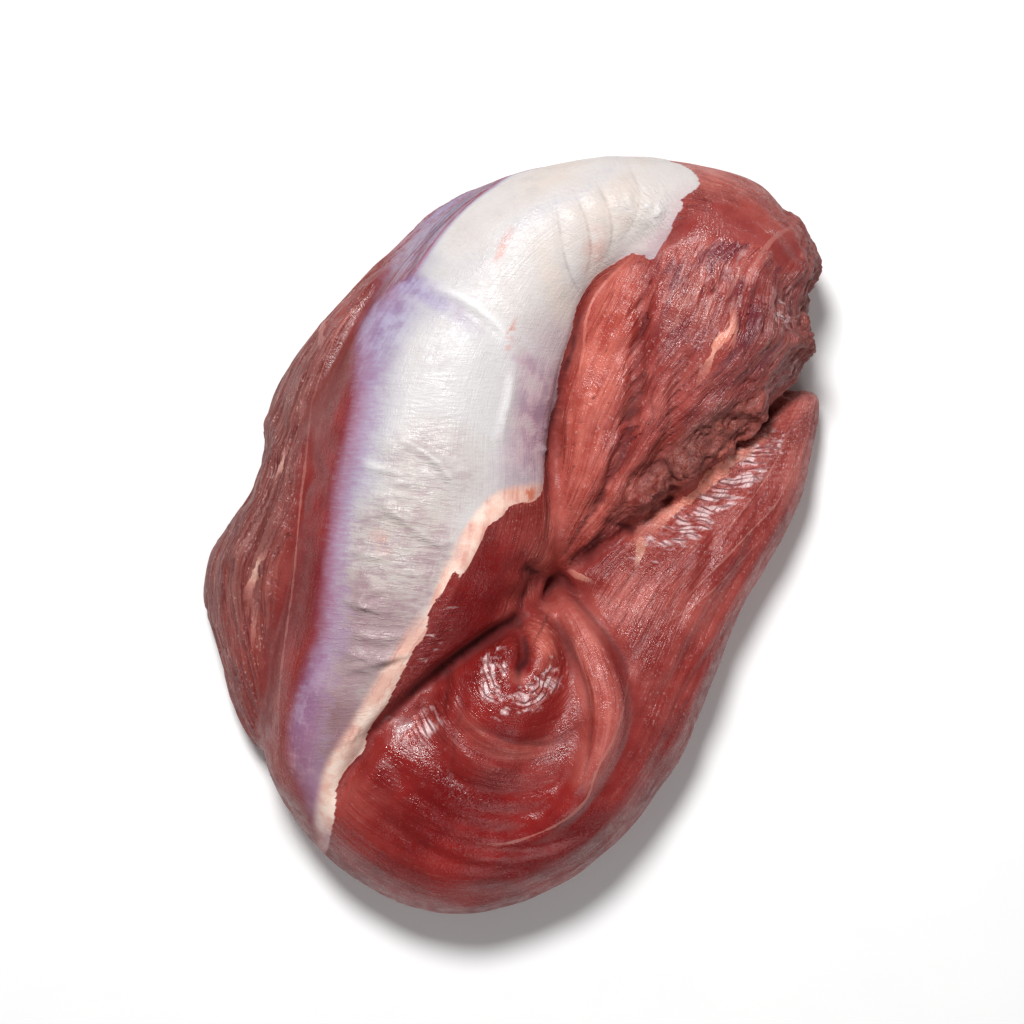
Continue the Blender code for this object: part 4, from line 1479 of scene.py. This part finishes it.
# Name, place, width and height, and power beside the key light's.
LIGHTS = (
    ("key", (-0.30, 0.32, 0.95), (0.24, 0.24), 1.0),
    ("fill", (0.75, -0.55, 0.9), (0.8, 0.8), 0.3),
)


def pale_floor():
    paper = bpy.data.materials.new("pale_floor")
    paper.use_nodes = True
    n = Nodes(paper.node_tree)
    shader = paper.node_tree.nodes["Principled BSDF"].inputs
    grain = n.noise(n.add("ShaderNodeTexCoord").outputs["Object"], 40.0, 4.0)
    n.feed(shader["Base Color"], n.mix(grain, *FLOOR_GREYS))
    shader["Roughness"].default_value = FLOOR_ROUGHNESS
    return paper


class SCENE_OT_counter_stage(Operator):
    """Builds the stage: a pale floor, soft lights and the camera over it"""

    bl_idname = "scene.counter_stage"
    bl_label = "Counter stage"
    bl_options = {"REGISTER", "UNDO"}

    def execute(self, context):
        stage = context.scene.stage_settings
        bm = bmesh.new()
        bmesh.ops.create_grid(bm, x_segments=2, y_segments=2, size=FLOOR_REACH)
        floor = mesh_object("floor", bm)
        floor.data.materials.append(pale_floor())
        world = bpy.data.worlds.new("room")
        context.scene.world = world
        world.use_nodes = True
        room = world.node_tree.nodes["Background"].inputs
        room["Color"].default_value = (1.0, 1.0, 1.0, 1.0)
        room["Strength"].default_value = stage.surroundings
        for name, place, size, power in LIGHTS:
            lamp = bpy.data.lights.new(name, "AREA")
            lamp.shape = "ELLIPSE"
            lamp.size, lamp.size_y = size
            lamp.energy = power * stage.key_power
            light = bpy.data.objects.new(name, lamp)
            light.location = place
            light.rotation_euler = Vector(place).to_track_quat("Z", "Y").to_euler()
            context.scene.collection.objects.link(light)
        lens = bpy.data.cameras.new("camera")
        lens.lens = CAMERA_LENS
        lens.clip_start, lens.clip_end = CAMERA_CLIP
        camera = bpy.data.objects.new("camera", lens)
        camera.location = (*CAMERA_PLACE, stage.camera_height)
        camera.rotation_euler = (0, 0, CAMERA_TURN)
        context.scene.collection.objects.link(camera)
        context.scene.camera = camera
        context.scene.view_settings.view_transform = "Standard"
        return {"FINISHED"}


class VIEW3D_PT_meat(Panel):
    """Lists what the script builds"""

    bl_label = "Veal tenderloin"
    bl_space_type = "VIEW_3D"
    bl_region_type = "UI"
    bl_category = "Meat"

    def draw(self, context):
        layout, scene = self.layout, context.scene
        for group in (scene.meat_shape, scene.meat_colours, scene.stage_settings):
            for name in group.__annotations__:
                layout.prop(group, name)
        layout.operator(MESH_OT_veal_tenderloin.bl_idname)
        layout.operator(SCENE_OT_counter_stage.bl_idname)


CLASSES = (
    MeatShape, MeatColours, StageSettings, MESH_OT_veal_tenderloin, SCENE_OT_counter_stage, VIEW3D_PT_meat,
)


def register():
    for made in CLASSES:
        bpy.utils.register_class(made)
    bpy.types.Scene.meat_shape = PointerProperty(type=MeatShape)
    bpy.types.Scene.meat_colours = PointerProperty(type=MeatColours)
    bpy.types.Scene.stage_settings = PointerProperty(type=StageSettings)


def unregister():
    del bpy.types.Scene.meat_shape, bpy.types.Scene.meat_colours, bpy.types.Scene.stage_settings
    for made in reversed(CLASSES):
        bpy.utils.unregister_class(made)


def main():
    register()
    bpy.ops.mesh.veal_tenderloin()
    bpy.ops.scene.counter_stage()


if __name__ == "__main__":
    main()
